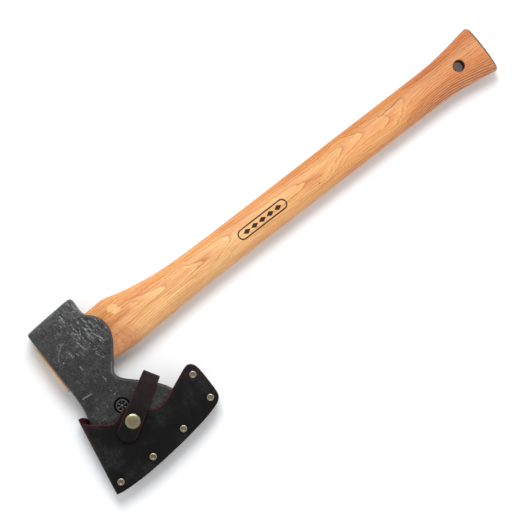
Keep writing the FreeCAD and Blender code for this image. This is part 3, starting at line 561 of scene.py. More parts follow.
def leather(name, base, dark, edge_col, highlight, warm_col, spec=0.22):
    s = Mat(name)
    p = s.coords()
    big = s.noise(p, 0.05, 3.0, 0.55)
    cloud = s.noise(p, 0.034, 3.0, 0.58)
    cells = s.voronoi(p, 1.15, feature="F1", out="Distance")
    cells2 = s.voronoi(p, 2.1, feature="DISTANCE_TO_EDGE", out="Distance")
    crease = s.noise(p, 0.35, 4.0, 0.62, dist=0.8)
    fine = s.noise(p, 0.9, 3.0, 0.65)
    c = s.mix(s.range(big, 0.3, 0.7), base, dark)
    # lighter grey clouds, with finer flecks inside them
    pale_clouds = s.math("MULTIPLY", s.range(crease, 0.42, 0.66, 0.30, 1.0), s.range(cloud, 0.47, 0.66))
    c = s.mix(s.math("MULTIPLY", pale_clouds, 0.70), c, highlight)
    fleck = s.math("MULTIPLY", s.range(fine, 0.66, 0.74), s.range(cloud, 0.40, 0.60))
    c = s.mix(s.math("MULTIPLY", fleck, 0.55), c, tuple(v * 1.9 for v in highlight[:3]) + (1.0,))
    c = s.mix(s.range(cells2, 0.09, 0.0, 0.0, 0.35), c, dark)
    warm = s.math("MULTIPLY", s.attr("warm"), s.range(crease, 0.3, 0.6, 0.55, 1.0))
    c = s.mix(warm, c, warm_col)
    e = s.attr("cut_edge")
    fib = s.noise(p, 1.1, 3.0, 0.7)
    ec = s.mix(s.range(fib, 0.40, 0.62), edge_col, tuple(v * 0.50 for v in edge_col[:3]) + (1.0,))
    c = s.mix(e, c, ec)
    h = s.math("ADD", s.math("MULTIPLY", s.range(cells2, 0.0, 0.16), 0.55), s.math("MULTIPLY", crease, 1.0))
    h = s.math("ADD", h, s.math("MULTIPLY", cells, 0.15))
    rough = s.math("ADD", s.range(crease, 0.3, 0.7, 0.46, 0.62), s.math("MULTIPLY", e, 0.12))
    return s.set(color=c, rough=rough, normal=s.bump(h, 0.45, 0.00026), spec=spec)


def metal(name, base, shade, patina_and_shade, rough0, rough1, centres=(), rings=()):
    """centres: design (x, y) of round pieces; rings: (radius, half width, share of the dark colour), rings of patina
    with painted shade at the rolled rims and hollow centres.
    """
    s = Mat(name)
    p = s.coords()
    px, py, pz = s.sep(p)
    n = s.noise(p, 0.5, 4.0, 0.6)
    f = s.noise(p, 3.2, 3.0, 0.6)
    c = s.mix(s.range(n, 0.3, 0.7), base, shade)
    c = s.mix(s.range(f, 0.58, 0.75, 0.0, 0.6), c, patina_and_shade)
    near = None
    for cx, cy in centres:
        ex, ey = s.math("SUBTRACT", px, float(cx + SHIFT[0])), s.math("SUBTRACT", py, float(cy + SHIFT[1]))
        d = s.math("SQRT", s.math("ADD", s.math("MULTIPLY", ex, ex), s.math("MULTIPLY", ey, ey)))
        near = d if near is None else s.math("MINIMUM", near, d)
    # dark rings: patina in the crevices, with painted shade round the rolled rims and in the rivets' hollow centres
    for r, w, share in rings:
        on = s.range(s.math("ABSOLUTE", s.math("SUBTRACT", near, r)), w, w * 0.4)
        c = s.mix(s.math("MULTIPLY", on, share), c, patina_and_shade)
    rough = s.range(n, 0.3, 0.7, rough0, rough1)
    return s.set(color=c, metal=1.0, rough=rough, normal=s.bump(f, 0.12, 0.00004))


WOOD_LEVEL = 0.86
KNOB_FLOW = [(100.0, -20.5), (115.0, -17.6), (128.0, -13.4), (143.0, -9.2), (155.0, -7.0), (166.0, -6.0), (178.0, -6.2), (190.0, -7.6), (209.0, -11.6), (226.0, -15.6)]
KNOB_GAP = [(100.0, 0.9), (128.0, 1.2), (143.0, 1.6), (166.0, 2.0), (226.0, 2.35)]
WOOD_PALE = lin((255, 213, 150))
WOOD_LIGHT = lin((251, 197, 132))
WOOD_MID = lin((232, 162, 103))
WOOD_LATE = lin((192, 120, 68))
WOOD_RED = lin((220, 142, 96))
WOOD_DARK = lin((156, 90, 48))
M_WOOD = wood("hickory", end_grain=True)
M_WEDGE = wood("wedge_wood", stain=lin((176, 150, 130)))
M_STEEL = forged_steel()
M_SHEATH = leather("sheath_leather", lin((10, 9, 10)), lin((5, 5, 5)), lin((88, 34, 38)), lin((47, 46, 47)), lin((42, 18, 22)), 0.12)
M_STRAP = leather("strap_leather", lin((11, 9, 9)), lin((6, 5, 5)), lin((78, 32, 35)), lin((36, 33, 34)), lin((33, 18, 20)), 0.14)
M_WELT = leather("welt_leather", lin((70, 36, 30)), lin((44, 24, 21)), lin((88, 40, 34)), lin((96, 56, 46)), lin((70, 36, 30)))
# the snap's dark ring at its rim is patina with painted shade where the cap rolls over
M_BRASS = metal("antique_brass", lin((196, 188, 156)), lin((158, 148, 116)), lin((86, 76, 52)), 0.24, 0.38,
                [(29.1, -76.5)], [(7.4, 1.3, 0.75)])
# the rivets' dark centres and rings are patina with painted shade of the hollow centres and the rolled rims
M_RIVET = metal("rivet_nickel", lin((182, 174, 154)), lin((146, 136, 116)), lin((80, 62, 48)), 0.34, 0.48,
                [(-14.6, -114.7), (23.4, -114.5), (61.6, -111.2), (99.2, -103.5), (99.2, -76.7)],
                [(0.0, 2.1, 0.50), (2.1, 0.5, 0.75), (3.7, 0.5, 0.65)])
M_RING = metal("drawn_steel", lin((150, 150, 150)), lin((108, 108, 108)), lin((58, 52, 48)), 0.34, 0.5)


def finish_piece(ob, mat, body, slot_name, *nodes):
    ob.data.materials.clear()
    ob.data.materials.append(mat)
    if body:
        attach(ob, body)
    if nodes:
        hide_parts(*nodes)
    return ob


# ------------------------------------------------------------------ head
HEAD_LEFT = [(60, 0.35), (44, 0.35), (0, 0.35), (-20, 0.15), (-30, -0.25), (-40, -1.05), (-45, -1.95),
             (-50, -3.15), (-60, -5.8), (-70, -8.1), (-80, -10.7), (-90, -13.5), (-100, -16.3),
             (-107.5, -18.6), (-118, -21.9)]
HEAD_RIGHT = [(60, 52.1), (44, 52.1), (40, 51.8), (36, 51.6), (33, 51.8), (31, 52.4), (29, 53.7),
              (27, 55.8), (24, 58.8), (20, 61.8), (16, 63.8), (12, 64.8), (8, 65.0), (4, 64.6),
              (0, 63.5), (-4, 61.6), (-8, 59.1), (-12.5, 55.8), (-17, 52.4), (-20.5, 49.4),
              (-23.5, 46.6), (-27, 43.8), (-30, 42.4), (-33, 42.2), (-36, 43.1), (-39, 45.2),
              (-42, 47.9), (-46, 52.1), (-50, 56.2), (-55, 61.2), (-60, 65.9), (-65, 70.2),
              (-70, 73.6), (-75, 76.1), (-80, 78.6), (-90, 83.7), (-98, 87.9), (-118, 98.4)]
HEAD_HALF = [(60, 15.3), (49, 15.4), (40, 15.7), (30, 16.1), (20, 16.5), (5, 16.5), (-4, 15.7),
             (-11, 14.2), (-19, 11.6), (-27, 9.4), (-35, 8.0), (-43, 6.95), (-50, 6.2)]
HEAD_CORNER = [(60, 2.0), (40, 2.0), (20, 2.4), (0, 2.4), (-20, 2.8), (-35, 3.0), (-50, 3.0),
               (-65, 2.8), (-80, 2.4), (-95, 1.8), (-118, 0.9)]
EDGE_CURVE = [(-30, -104.6), (-18.6, -107.3), (-10, -108.9), (0, -109.8), (10, -110.1),
              (20, -109.9), (30, -109.3), (45, -107.9), (60, -105.6), (75, -102.3),
              (87.9, -98.0), (100, -93.2)]
STAMP = (29.8, -59.3)


def blade_half(y):
    low = 1.65 + 0.075 * (y + 111.0)
    return np.where(y >= -50, pchip(HEAD_HALF + [(-55, 1.65 + 0.075 * 56)], np.maximum(y, -55)), low)


def make_head():
    nf, na, ns = ((230, 9, 60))
    # perimeter parameters: (side, s) for front, right corner, right side, ... walked once round
    fs = np.linspace(0, 1, nf)
    ang = np.linspace(0, np.pi / 2, na + 2)[1:-1]
    ss = np.linspace(1, -1, ns)
    rows_low = np.linspace(0, 1, 150) ** 1.15
    ys_up = np.linspace(-70, 46.3, 260)[1:]

    def build(yfun):
        """One ring of the head: yfun(x) is the ring's height at x."""
        def solve(kind, t):
            x = np.full(len(t), 30.0)
            for _ in range(6):
                y = yfun(x)
                x0, x1, h = pchip(HEAD_LEFT, y), pchip(HEAD_RIGHT, y), blade_half(y)
                e = pchip(EDGE_CURVE, x)
                h = np.minimum(h, 0.25 + 0.20 * np.maximum(y - e, 0))
                r = np.minimum(pchip(HEAD_CORNER, y), 0.8 * h)
                if kind == "front":
                    x = x0 + r + t * (x1 - x0 - 2 * r)
                    z = h
                elif kind == "right":
                    x = x1 - r + r * np.sin(t)
                    z = h - r + r * np.cos(t)
                elif kind == "rside":
                    x = x1 + 0 * t
                    z = t * (h - r)
                elif kind == "left":
                    x = x0 + r - r * np.sin(t)
                    z = h - r + r * np.cos(t)
                elif kind == "lside":
                    x = x0 + 0 * t
                    z = t * (h - r)
            return np.stack([x, y, z], -1)
        front = solve("front", fs)
        rc = solve("right", ang)
        rs = solve("rside", ss)
        lc = solve("left", ang)
        ls = solve("lside", ss)
        flip = np.array([1, 1, -1.0])
        return np.concatenate([front, rc, rs, rc[::-1] * flip, front[::-1] * flip, lc * flip, ls[::-1], lc[::-1]])

    rings = []
    for t in rows_low:
        # from the cutting edge up to y = -70, easing from the edge's curve to a level line
        rings.append(build(lambda x, t=t: pchip(EDGE_CURVE, x) * (1 - t) + -70.0 * t))
    for k, y in enumerate(ys_up):
        w = smooth(-10, 46.3, y)
        rings.append(build(lambda x, y=y, w=w: y + w * 0.056 * np.clip(x, -2, 60)))
    # poll: rounded rim, then the face closes inwards
    top = rings[-1]
    cx, tilt = 26.0, 0.056
    inner = []
    R = 2.5
    c = top.mean(0)
    for a in np.linspace(0, np.pi / 2, 7)[1:]:
        d = R * (1 - np.cos(a))
        lift = R * np.sin(a) - R
        q = top.copy()
        sx = (26.0 - d) / 26.0
        sz = (15.4 - d) / 15.4
        q[:, 0] = c[0] + (q[:, 0] - c[0]) * sx
        q[:, 2] *= sz
        q[:, 1] = 46.3 + tilt * q[:, 0] + lift
        inner.append(q)
    # drop the wall rings that the rim replaces
    rings = [g for g in rings if g[:, 1].max() < 49.2 - R - 0.2] + inner
    last = rings[-1]
    for f in np.linspace(1, 0.02, 34)[1:]:
        q = last.copy()
        q[:, 2] *= f
        q[:, 0] = c[0] + (q[:, 0] - c[0]) * (1 - (1 - f) * 0.55)
        q[:, 1] = 46.3 + tilt * q[:, 0] + 0.35 * (1 - f ** 2)
        rings.append(q)
    cols = len(rings[0])
    v = np.concatenate(rings)
    f = grid_faces(len(rings), cols)[:, ::-1]
    # close the cutting edge's land and the poll's seam
    first = np.arange(cols)
    n_half = cols // 2
    ob = mesh_object("axe_head_body", v, f)
    bm = bmesh.new()
    bm.from_mesh(ob.data)
    bmesh.ops.remove_doubles(bm, verts=bm.verts, dist=2e-6)
    holes = [e for e in bm.edges if e.is_boundary]
    bmesh.ops.holes_fill(bm, edges=holes, sides=0)
    bmesh.ops.recalc_face_normals(bm, faces=bm.faces)
    bm.to_mesh(ob.data)
    bm.free()
    return ob


# lines on the front cheek: x0, y0, x1, y1, half width, strength
# the second entry, along the poll's rounded right corner, is a painted highlight
BRIGHT_LINES = [(35.0, 41.6, 34.8, 34.0, 0.42, 0.75), (50.5, 43.0, 50.8, 33.0, 0.60, 0.30), (31.7, 25.3, 34.5, 13.1, 0.36, 0.32),
                (32.8, 13.1, 35.7, 2.6, 0.38, 0.45), (38.3, 25.3, 40.5, 9.0, 0.36, 0.38), (50.0, 27.4, 50.4, 9.0, 0.46, 0.42),
                (51.0, 9.0, 54.3, -1.0, 0.46, 0.45), (57.1, 14.6, 58.8, 6.7, 0.42, 0.40), (40.3, -5.4, 44.5, -14.0, 0.40, 0.38),
                (8.8, 9.0, 13.8, 14.6, 0.40, 0.26), (13.8, 14.6, 20.0, 19.6, 0.44, 0.40), (21.4, -6.9, 22.0, -10.4, 0.50, 0.48),
                (44.2, 41.0, 45.6, 30.0, 0.36, 0.26), (46.2, 20.0, 47.5, 6.0, 0.40, 0.36), (54.0, 22.0, 55.6, 12.0, 0.40, 0.34)]
DARK_LINES = [(36.7, 42.4, 37.7, 27.4, 0.55, 0.75), (48.1, 30.3, 48.8, 9.0, 0.50, 0.85), (39.6, 23.0, 42.4, 7.4, 0.50, 0.75),
              (52.5, 29.0, 52.9, 9.0, 0.50, 0.70), (30.3, 29.0, 34.5, 9.0, 0.45, 0.45), (43.8, 6.0, 47.4, -12.6, 0.50, 0.65),
              (15.9, 45.0, 16.4, 36.0, 0.55, 0.40), (22.0, 44.0, 22.6, 33.0, 0.50, 0.35), (60.5, 16.0, 61.5, 4.0, 0.50, 0.50),
              (8.0, -26.0, 12.0, -31.0, 0.45, 0.40), (12.0, 30.0, 13.0, 20.0, 0.50, 0.35)]


def segment_distance(q, x0, y0, x1, y1):
    dx, dy = x1 - x0, y1 - y0
    t = np.clip(((q[:, 0] - x0) * dx + (q[:, 1] - y0) * dy) / (dx * dx + dy * dy), 0, 1)
    return np.hypot(q[:, 0] - x0 - t * dx, q[:, 1] - y0 - t * dy)


def dent_head(ob):
    p, n = coords(ob), normals(ob)
    # keep the ground bevel and the eye's mouths true
    up = smooth(-104, -88, p[:, 1])
    eye = (np.abs(n[:, 0]) > 0.8) & (p[:, 1] > -24) & (p[:, 1] < 36) & (np.abs(p[:, 2]) < 13)
    calm = np.where(eye, 0.25, 1.0) * up
    # shallow hammer facets, as soft noise at two sizes
    cell = np.floor((p + 7.0 * fbm(p, 18.0, 5, 2)[:, None]) / 9.0)
    d = 0.16 * fbm(p, 16.0, 21, 3) + 0.07 * fbm(p, 4.5, 33, 3)
    # rough forge scale on the cheeks, stronger towards the handle side
    zone = smooth(-25, 5, p[:, 1]) * smooth(12, 46, p[:, 0])
    scale = fbm(p, (3.2, 5.0, 3.2), 47, 3)
    d += -0.30 * zone * smooth(0.15, 0.55, scale)
    d += -0.20 * smooth(0.30, 0.7, fbm(p, (2.2, 4.5, 2.2), 63, 2)) * (0.35 + 0.65 * zone)
    d += 0.10 * smooth(0.45, 0.7, noise3(p, 1.6, 71)) * zone
    # a few deliberate dents and a scratch or two
    for cx, cy, rx, ry, amp in [(34, 36, 1.2, 4.6, -0.42), (38, 33, 0.9, 3.2, -0.30), (25, 31, 1.0, 2.8, -0.32),
                                (19, 19, 3.4, 1.6, 0.22), (23, 6, 1.6, 1.2, -0.30), (34.5, 3.5, 1.7, 1.3, -0.34),
                                (53, -1.5, 4.0, 0.9, -0.30), (49, -5, 1.2, 1.2, 0.26), (22, -10, 1.4, 1.2, -0.28),
                                (42, 12, 0.9, 6.0, -0.24), (47, 8, 0.9, 5.0, -0.20), (57, 12.5, 1.2, 1.2, 0.22),
                                (44.5, -14, 1.2, 0.9, -0.26)]:
        g = np.exp(-((p[:, 0] - cx) / rx) ** 2 - ((p[:, 1] - cy) / ry) ** 2)
        d += amp * g * (p[:, 2] > 0)
    for cx, cy, rx, ry, amp in [(20, 30, 1.2, 5.0, -0.4), (44, 20, 3.0, 1.0, -0.3), (30, 5, 1.6, 1.4, -0.32),
                                (12, -6, 1.2, 4.0, -0.26), (50, 2, 1.2, 5.5, -0.28), (36, -16, 3.4, 0.9, -0.24)]:
        g = np.exp(-((p[:, 0] - cx) / rx) ** 2 - ((p[:, 1] - cy) / ry) ** 2)
        d += amp * g * (p[:, 2] < 0)
    # a curved drag mark below the eye
    yy = -32.4 - 0.012 * (p[:, 0] - 4) ** 2 * 0.9
    mark = np.exp(-((p[:, 1] - yy) / 0.45) ** 2) * smooth(3.5, 5, p[:, 0]) * smooth(16, 13, p[:, 0]) * (p[:, 2] > 0)
    d += -0.22 * mark
    # round maker's recess: plain ring and a six-spoked wheel
    dx, dy = p[:, 0] - STAMP[0], p[:, 1] - STAMP[1]
    rad, th = np.hypot(dx, dy), np.arctan2(dy, dx)
    front = (p[:, 2] > 0) & (n[:, 2] > 0.5)
    floor = smooth(8.05, 7.65, rad)
    ring = smooth(0.62, 0.3, np.abs(rad - 5.3))
    spokes = smooth(0.30, 0.70, np.cos(6 * th)) * smooth(4.6, 4.2, rad) * smooth(1.9, 2.2, rad)
    hub = smooth(1.45, 1.15, rad)
    raised = np.maximum(np.maximum(ring, spokes), hub)
    stamp = np.where(front, floor * (-0.60 + 0.45 * raised), 0)
    d = d * calm * np.where(front & (rad < 9.0), 0.3, 1.0)
    set_coords(ob, p + n * (d + stamp)[:, None])
    wear_and_highlight = np.where(front, floor * raised * (0.10 + 0.16 * smooth(-0.3, 0.4, fbm(p, 2.5, 141, 2))), 0) + 0.50 * mark
    # painted highlight along the outer corners' bevels, the poll's rim and the edge of the beard notch
    flat_n = np.hypot(n[:, 0], n[:, 1])
    corner_highlight = np.exp(-((np.abs(n[:, 2]) - 0.72) / 0.13) ** 2) * (flat_n > 0.3)
    poll_rim_highlight = np.exp(-((n[:, 1] - 0.62) / 0.14) ** 2) * (p[:, 1] > 42)
    notch_highlight = smooth(-46, -36, p[:, 1]) * smooth(-4, -14, p[:, 1]) * (p[:, 0] > 30)
    w = (corner_highlight * (0.12 + 0.30 * notch_highlight) + poll_rim_highlight * 0.22) * (0.25 + 0.75 * smooth(-0.2, 0.5, fbm(p, 5.0, 91, 3)))
    # bright spots on the dents and bumps
    for cx, cy, rx, ry in [(34, 36, 1.6, 5.0), (19, 19, 4.0, 2.0), (34.5, 3.5, 2.2, 1.6), (49, -5, 1.6, 1.4),
                           (53, -1.5, 4.2, 1.2), (25, 31, 1.3, 3.0), (22, -10, 1.6, 1.3)]:
        w += 0.24 * np.exp(-((p[:, 0] - cx) / rx) ** 2 - ((p[:, 1] - cy) / ry) ** 2) * smooth(-0.1, 0.5, fbm(p, 1.5, 17, 2)) * (p[:, 2] > 0)
    # bright drawn lines and dark cracks down the cheek; the second bright line, along the poll's rounded right corner,
    # is a painted highlight
    wob = p[:, :2] + np.stack([0.55 * fbm(p, 3.4, 201, 2), 0.5 * fbm(p, 3.4, 211, 2)], 1)
    broken = smooth(-0.25, 0.25, fbm(p, 1.5, 221, 2))
    for x0, y0, x1, y1, wide, amp in BRIGHT_LINES:
        w += amp * np.exp(-(segment_distance(wob, x0, y0, x1, y1) / wide) ** 2) * (0.3 + 0.7 * broken) * (p[:, 2] > 0)
    crack = np.zeros(len(p))
    for x0, y0, x1, y1, wide, amp in DARK_LINES:
        crack += amp * np.exp(-(segment_distance(wob, x0, y0, x1, y1) / wide) ** 2) * (0.4 + 0.6 * (1 - broken)) * (p[:, 2] > 0)
    # stored together: real wear, scratches and drawn lines, and the painted highlights on the corners, the poll's rim
    # and the notch's edge
    attribute(ob, "wear_and_highlight", np.clip(wear_and_highlight + w, 0, 1))
    attribute(ob, "recess", np.maximum(np.where(front, smooth(8.1, 7.7, rad) * (1 - 0.92 * raised), 0), np.clip(crack, 0, 1)))
    blot = smooth(-0.10, 0.40, fbm(p, 9.0, 131, 2))
    bulge = np.exp(-((p[:, 0] - 50) / 13.0) ** 2 - ((p[:, 1] - 14) / 20.0) ** 2)
    spots = sum(np.exp(-((p[:, 0] - a) / 5.0) ** 2 - ((p[:, 1] - b) / 4.0) ** 2)
                for a, b in [(19, 19), (22, -10), (34, 33), (24, 6), (44, -14), (40, 36)])
    attribute(ob, "rough_zone", np.clip(bulge * (0.35 + 0.75 * blot) + 0.75 * spots * blot + 0.14 * blot, 0, 1) * up * (np.abs(n[:, 2]) > 0.4))
    e = pchip(EDGE_CURVE, p[:, 0])
    h = 0.25 + 0.20 * np.maximum(p[:, 1] - e, 0)
    attribute(ob, "ground", smooth(0.35, -0.25, h - blade_half(p[:, 1])) * smooth(-80, -92, p[:, 1]))


# ------------------------------------------------------------------ handle
HANDLE = [(-2.5, 31.6, -18.6, 10.3, 2.5), (10, 31.1, -19.0, 10.2, 2.5), (25, 30.6, -19.5, 10.1, 2.5),
          (40, 30.0, -20.1, 10.0, 2.5), (52, 29.6, -20.6, 10.0, 2.5), (62, 29.8, -21.45, 10.0, 2.5),
          (68, 30.1, -21.85, 10.6, 2.5), (73, 30.2, -22.15, 11.4, 2.5), (79, 29.0, -22.35, 12.0, 2.5),
          (86, 27.0, -22.15, 12.3, 2.45), (94, 25.0, -21.85, 12.5, 2.4), (104, 22.8, -21.45, 12.5, 2.35),
          (115, 20.9, -20.95, 12.4, 2.3), (128, 19.1, -20.35, 12.3, 2.25), (145, 17.8, -19.75, 12.2, 2.2),
          (165, 17.0, -19.35, 12.1, 2.2), (190, 16.7, -19.15, 12.0, 2.2), (225, 16.6, -19.15, 11.9, 2.2),
          (265, 16.6, -19.15, 11.8, 2.2), (310, 16.6, -19.05, 11.8, 2.2), (355, 16.5, -18.95, 11.8, 2.2),
          (400, 16.3, -18.95, 11.8, 2.2), (430, 16.2, -19.15, 11.9, 2.2), (446, 16.6, -19.55, 12.3, 2.2),
          (456, 17.3, -20.25, 12.95, 2.2), (466, 18.4, -21.45, 13.75, 2.25), (476, 19.7, -22.95, 14.5, 2.3),
          (486, 21.5, -24.75, 15.0, 2.3), (496, 22.8, -26.45, 15.3, 2.3), (506, 24.1, -28.15, 15.5, 2.3)]
HANG_HOLE = (469.0, -1.65)
HANDLE_END_X = 498.3


def oval(x, theta, grow=0.0):
    """Points of the handle's oval at stations x (n,) and angles theta (m,): (n, m, 3)."""
    x = np.asarray(x, float)
    top, bot = pchip([(r[0], r[1]) for r in HANDLE], x), pchip([(r[0], r[2]) for r in HANDLE], x)
    half, e = pchip([(r[0], r[3]) for r in HANDLE], x), pchip([(r[0], r[4]) for r in HANDLE], x)
    cy, a, b = (top + bot) / 2, (top - bot) / 2 + grow, half + grow
    c, s = np.cos(theta)[None], np.sin(theta)[None]
    rad = (np.abs(c) ** e[:, None] + np.abs(s) ** e[:, None]) ** (-1 / e[:, None])
    return np.stack([np.repeat(x[:, None], len(theta), 1), cy[:, None] + a[:, None] * rad * c, b[:, None] * rad * s], -1)


def make_handle():
    m = 144
    th = np.linspace(0, 2 * np.pi, m, endpoint=False)
    xs = np.concatenate([np.linspace(-2.5, 90, 110), np.linspace(90, 440, 260)[1:],
                         np.linspace(440, 494.0, 120)[1:]])
    rings = list(oval(xs, th))
    # tenon end: crisp little chamfer, then the end grain face
    first = rings[0]
    c0 = np.array([-2.5, first[:, 1].mean(), 0.0])
    lead = []
    for f, dx in [(0.02, 0.0), (0.25, 0.0), (0.5, 0.0), (0.75, 0.0), (0.9, 0.0), (0.965, 0.0), (0.985, 0.12)]:
        q = c0 + (first - c0) * f
        q[:, 0] = -2.5 + dx
        lead.append(q)
    first2 = first.copy()
    first2[:, 0] = -2.1
    rings = lead + [first2] + rings[1:]
    # knob end: rounded rim, then the crowned end face
    last = oval(np.array([495.6]), th)[0]
    cen = np.array([0, (last[:, 1].max() + last[:, 1].min()) / 2, 0])
    rr = 3.6
    rel = last - cen
    length = np.hypot(rel[:, 1], rel[:, 2])
    for a in np.linspace(0.1, np.pi / 2, 12):
        shrink = (length - rr * (1 - np.cos(a))) / length
        q = rel * shrink[:, None]
        q[:, 1] += cen[1]
        crown = HANDLE_END_X - ((q[:, 1] - cen[1]) ** 2 + q[:, 2] ** 2) / 800.0
        q[:, 0] = crown - rr + rr * np.sin(a)
        rings.append(q)
    end = rings[-1]
    for f in [0.94, 0.86, 0.76, 0.64, 0.5, 0.36, 0.22, 0.1, 0.02]:
        q = end.copy()
        q[:, 1] = cen[1] + (end[:, 1] - cen[1]) * f
        q[:, 2] = end[:, 2] * f
        q[:, 0] = HANDLE_END_X - ((q[:, 1] - cen[1]) ** 2 + q[:, 2] ** 2) / 800.0
        rings.append(q)
    v = np.concatenate(rings)
    ob = mesh_object("handle_wood", v, grid_faces(len(rings), m))
    bm = bmesh.new()
    bm.from_mesh(ob.data)
    bmesh.ops.holes_fill(bm, edges=[e for e in bm.edges if e.is_boundary], sides=0)
    bmesh.ops.recalc_face_normals(bm, faces=bm.faces)
    bm.to_mesh(ob.data)
    bm.free()
    # hand-finished surface: very faint facets left by the rasp and lathe
    p, n = coords(ob), normals(ob)
    amp = smooth(70, 90, p[:, 0])
    d = amp * (0.10 * fbm(p, (60, 12, 12), 3, 2) + 0.03 * fbm(p, (14, 5, 5), 9, 2))
    set_coords(ob, p + n * d[:, None])
    # hanging hole with an eased rim
    prof = [(0, -30), (9.5, -30), (9.5, -16.2)]
    z0, k = 14.0, 5.0
    for s in (-1, 1):
        flare = []
        for a in np.linspace(0, np.pi / 2, 9):
            flare.append((k + 1.9 * (1 - math.sin(a)), s * (z0 + 0.35 - 2.3 * math.cos(a))))
        # a = 0 is deepest in on the wall side
        flare = [(k + 1.9 * (1 - math.cos(a)) ** 1.0, s * (z0 - 2.2 + 2.3 * math.sin(a))) for a in np.linspace(0, np.pi / 2, 9)]
        if s < 0:
            prof += [(7.6, -15.2)] + flare[::-1]
        else:
            prof += flare + [(7.6, 15.2)]
    prof += [(9.5, 16.2), (9.5, 30), (0, 30)]
    hv, hf = surface_of_revolution("hole", prof, 72)
    hv = hv + np.array([HANG_HOLE[0], HANG_HOLE[1], 0])
    cutter = mesh_object("hole", hv, hf)
    bm = bmesh.new()
    bm.from_mesh(cutter.data)
    bmesh.ops.remove_doubles(bm, verts=bm.verts, dist=1e-6)
    bmesh.ops.recalc_face_normals(bm, faces=bm.faces)
    bm.to_mesh(cutter.data)
    bm.free()
    boolean(ob, cutter)
    # kerf for the wedge, and the ring driven across it
    kv = np.array([[x, y, z] for y in (-24, 36) for x, z in [(-3.5, 2.6), (38.5, 0.5), (38.5, -0.5), (-3.5, -2.6)]], float)
    kf = [[0, 1, 2, 3], [7, 6, 5, 4], [0, 4, 5, 1], [1, 5, 6, 2], [2, 6, 7, 3], [3, 7, 4, 0]]
    boolean(ob, closed("kerf", kv, kf))
    prof = [(-3.4, 5.7), (-3.4, 7.25), (9.7, 6.75), (9.7, 6.2)]
    ang = np.linspace(0, 2 * np.pi, 64, endpoint=False)
    rv = np.array([[x, 6.5 + r * math.cos(a), r * math.sin(a)] for x, r in prof + [prof[0]] for a in ang])
    rf = grid_faces(5, 64)
    boolean(ob, closed("ringcut", rv, rf, merge=True))
    smooth_by_angle(ob, 42)
    p = coords(ob)
    n = normals(ob)
    attribute(ob, "end_grain", smooth(1.5, -1.0, p[:, 0]) + smooth(496.4, 497.8, p[:, 0]))
    rad = np.hypot(p[:, 0] - HANG_HOLE[0], p[:, 1] - HANG_HOLE[1])
    # painted shade: the hanging hole's walls, where shade falls inside the hole, and a band round the knob end's
    # rounded rim are painted dark brown
    painted_shade = smooth(6.1, 5.15, rad)
    rim = np.where(p[:, 0] > 488, smooth(0.48, 0.72, n[:, 0]) * smooth(0.9995, 0.985, n[:, 0]), 0.0)
    attribute(ob, "painted_shade", np.clip(painted_shade + rim, 0, 1))
    return ob


def closed(name, v, f, merge=False):
    ob = mesh_object(name, np.asarray(v, float), np.asarray(f), False)
    bm = bmesh.new()
    bm.from_mesh(ob.data)
    if merge:
        bmesh.ops.remove_doubles(bm, verts=bm.verts, dist=1e-6)
    bmesh.ops.recalc_face_normals(bm, faces=bm.faces)
    bm.to_mesh(ob.data)
    bm.free()
    return ob


# ------------------------------------------------------------------ leather
def remeshed_copy(node, name, voxel, passes=2):
    """A new object with the node's shape, re-meshed evenly so that leather can be worked."""
    src = NODES[node]
    ob = bpy.data.objects.new(name, src.data.copy())
    bpy.context.scene.collection.objects.link(ob)
    m = ob.modifiers.new("weld", "WELD")
    m.merge_threshold = 1e-6
    m = ob.modifiers.new("voxel", "REMESH")
    m.mode, m.voxel_size = "VOXEL", voxel * 1e-3
    m = ob.modifiers.new("soften", "SMOOTH")
    m.factor, m.iterations = 0.5, passes
    apply_modifiers(ob)
    ob.data.polygons.foreach_set("use_smooth", np.ones(len(ob.data.polygons), bool))
    return ob


RIVETS = [(-14.6, -114.7), (23.4, -114.5), (61.6, -111.2), (99.2, -103.5), (99.2, -76.7)]
SLOPE = 0.1788


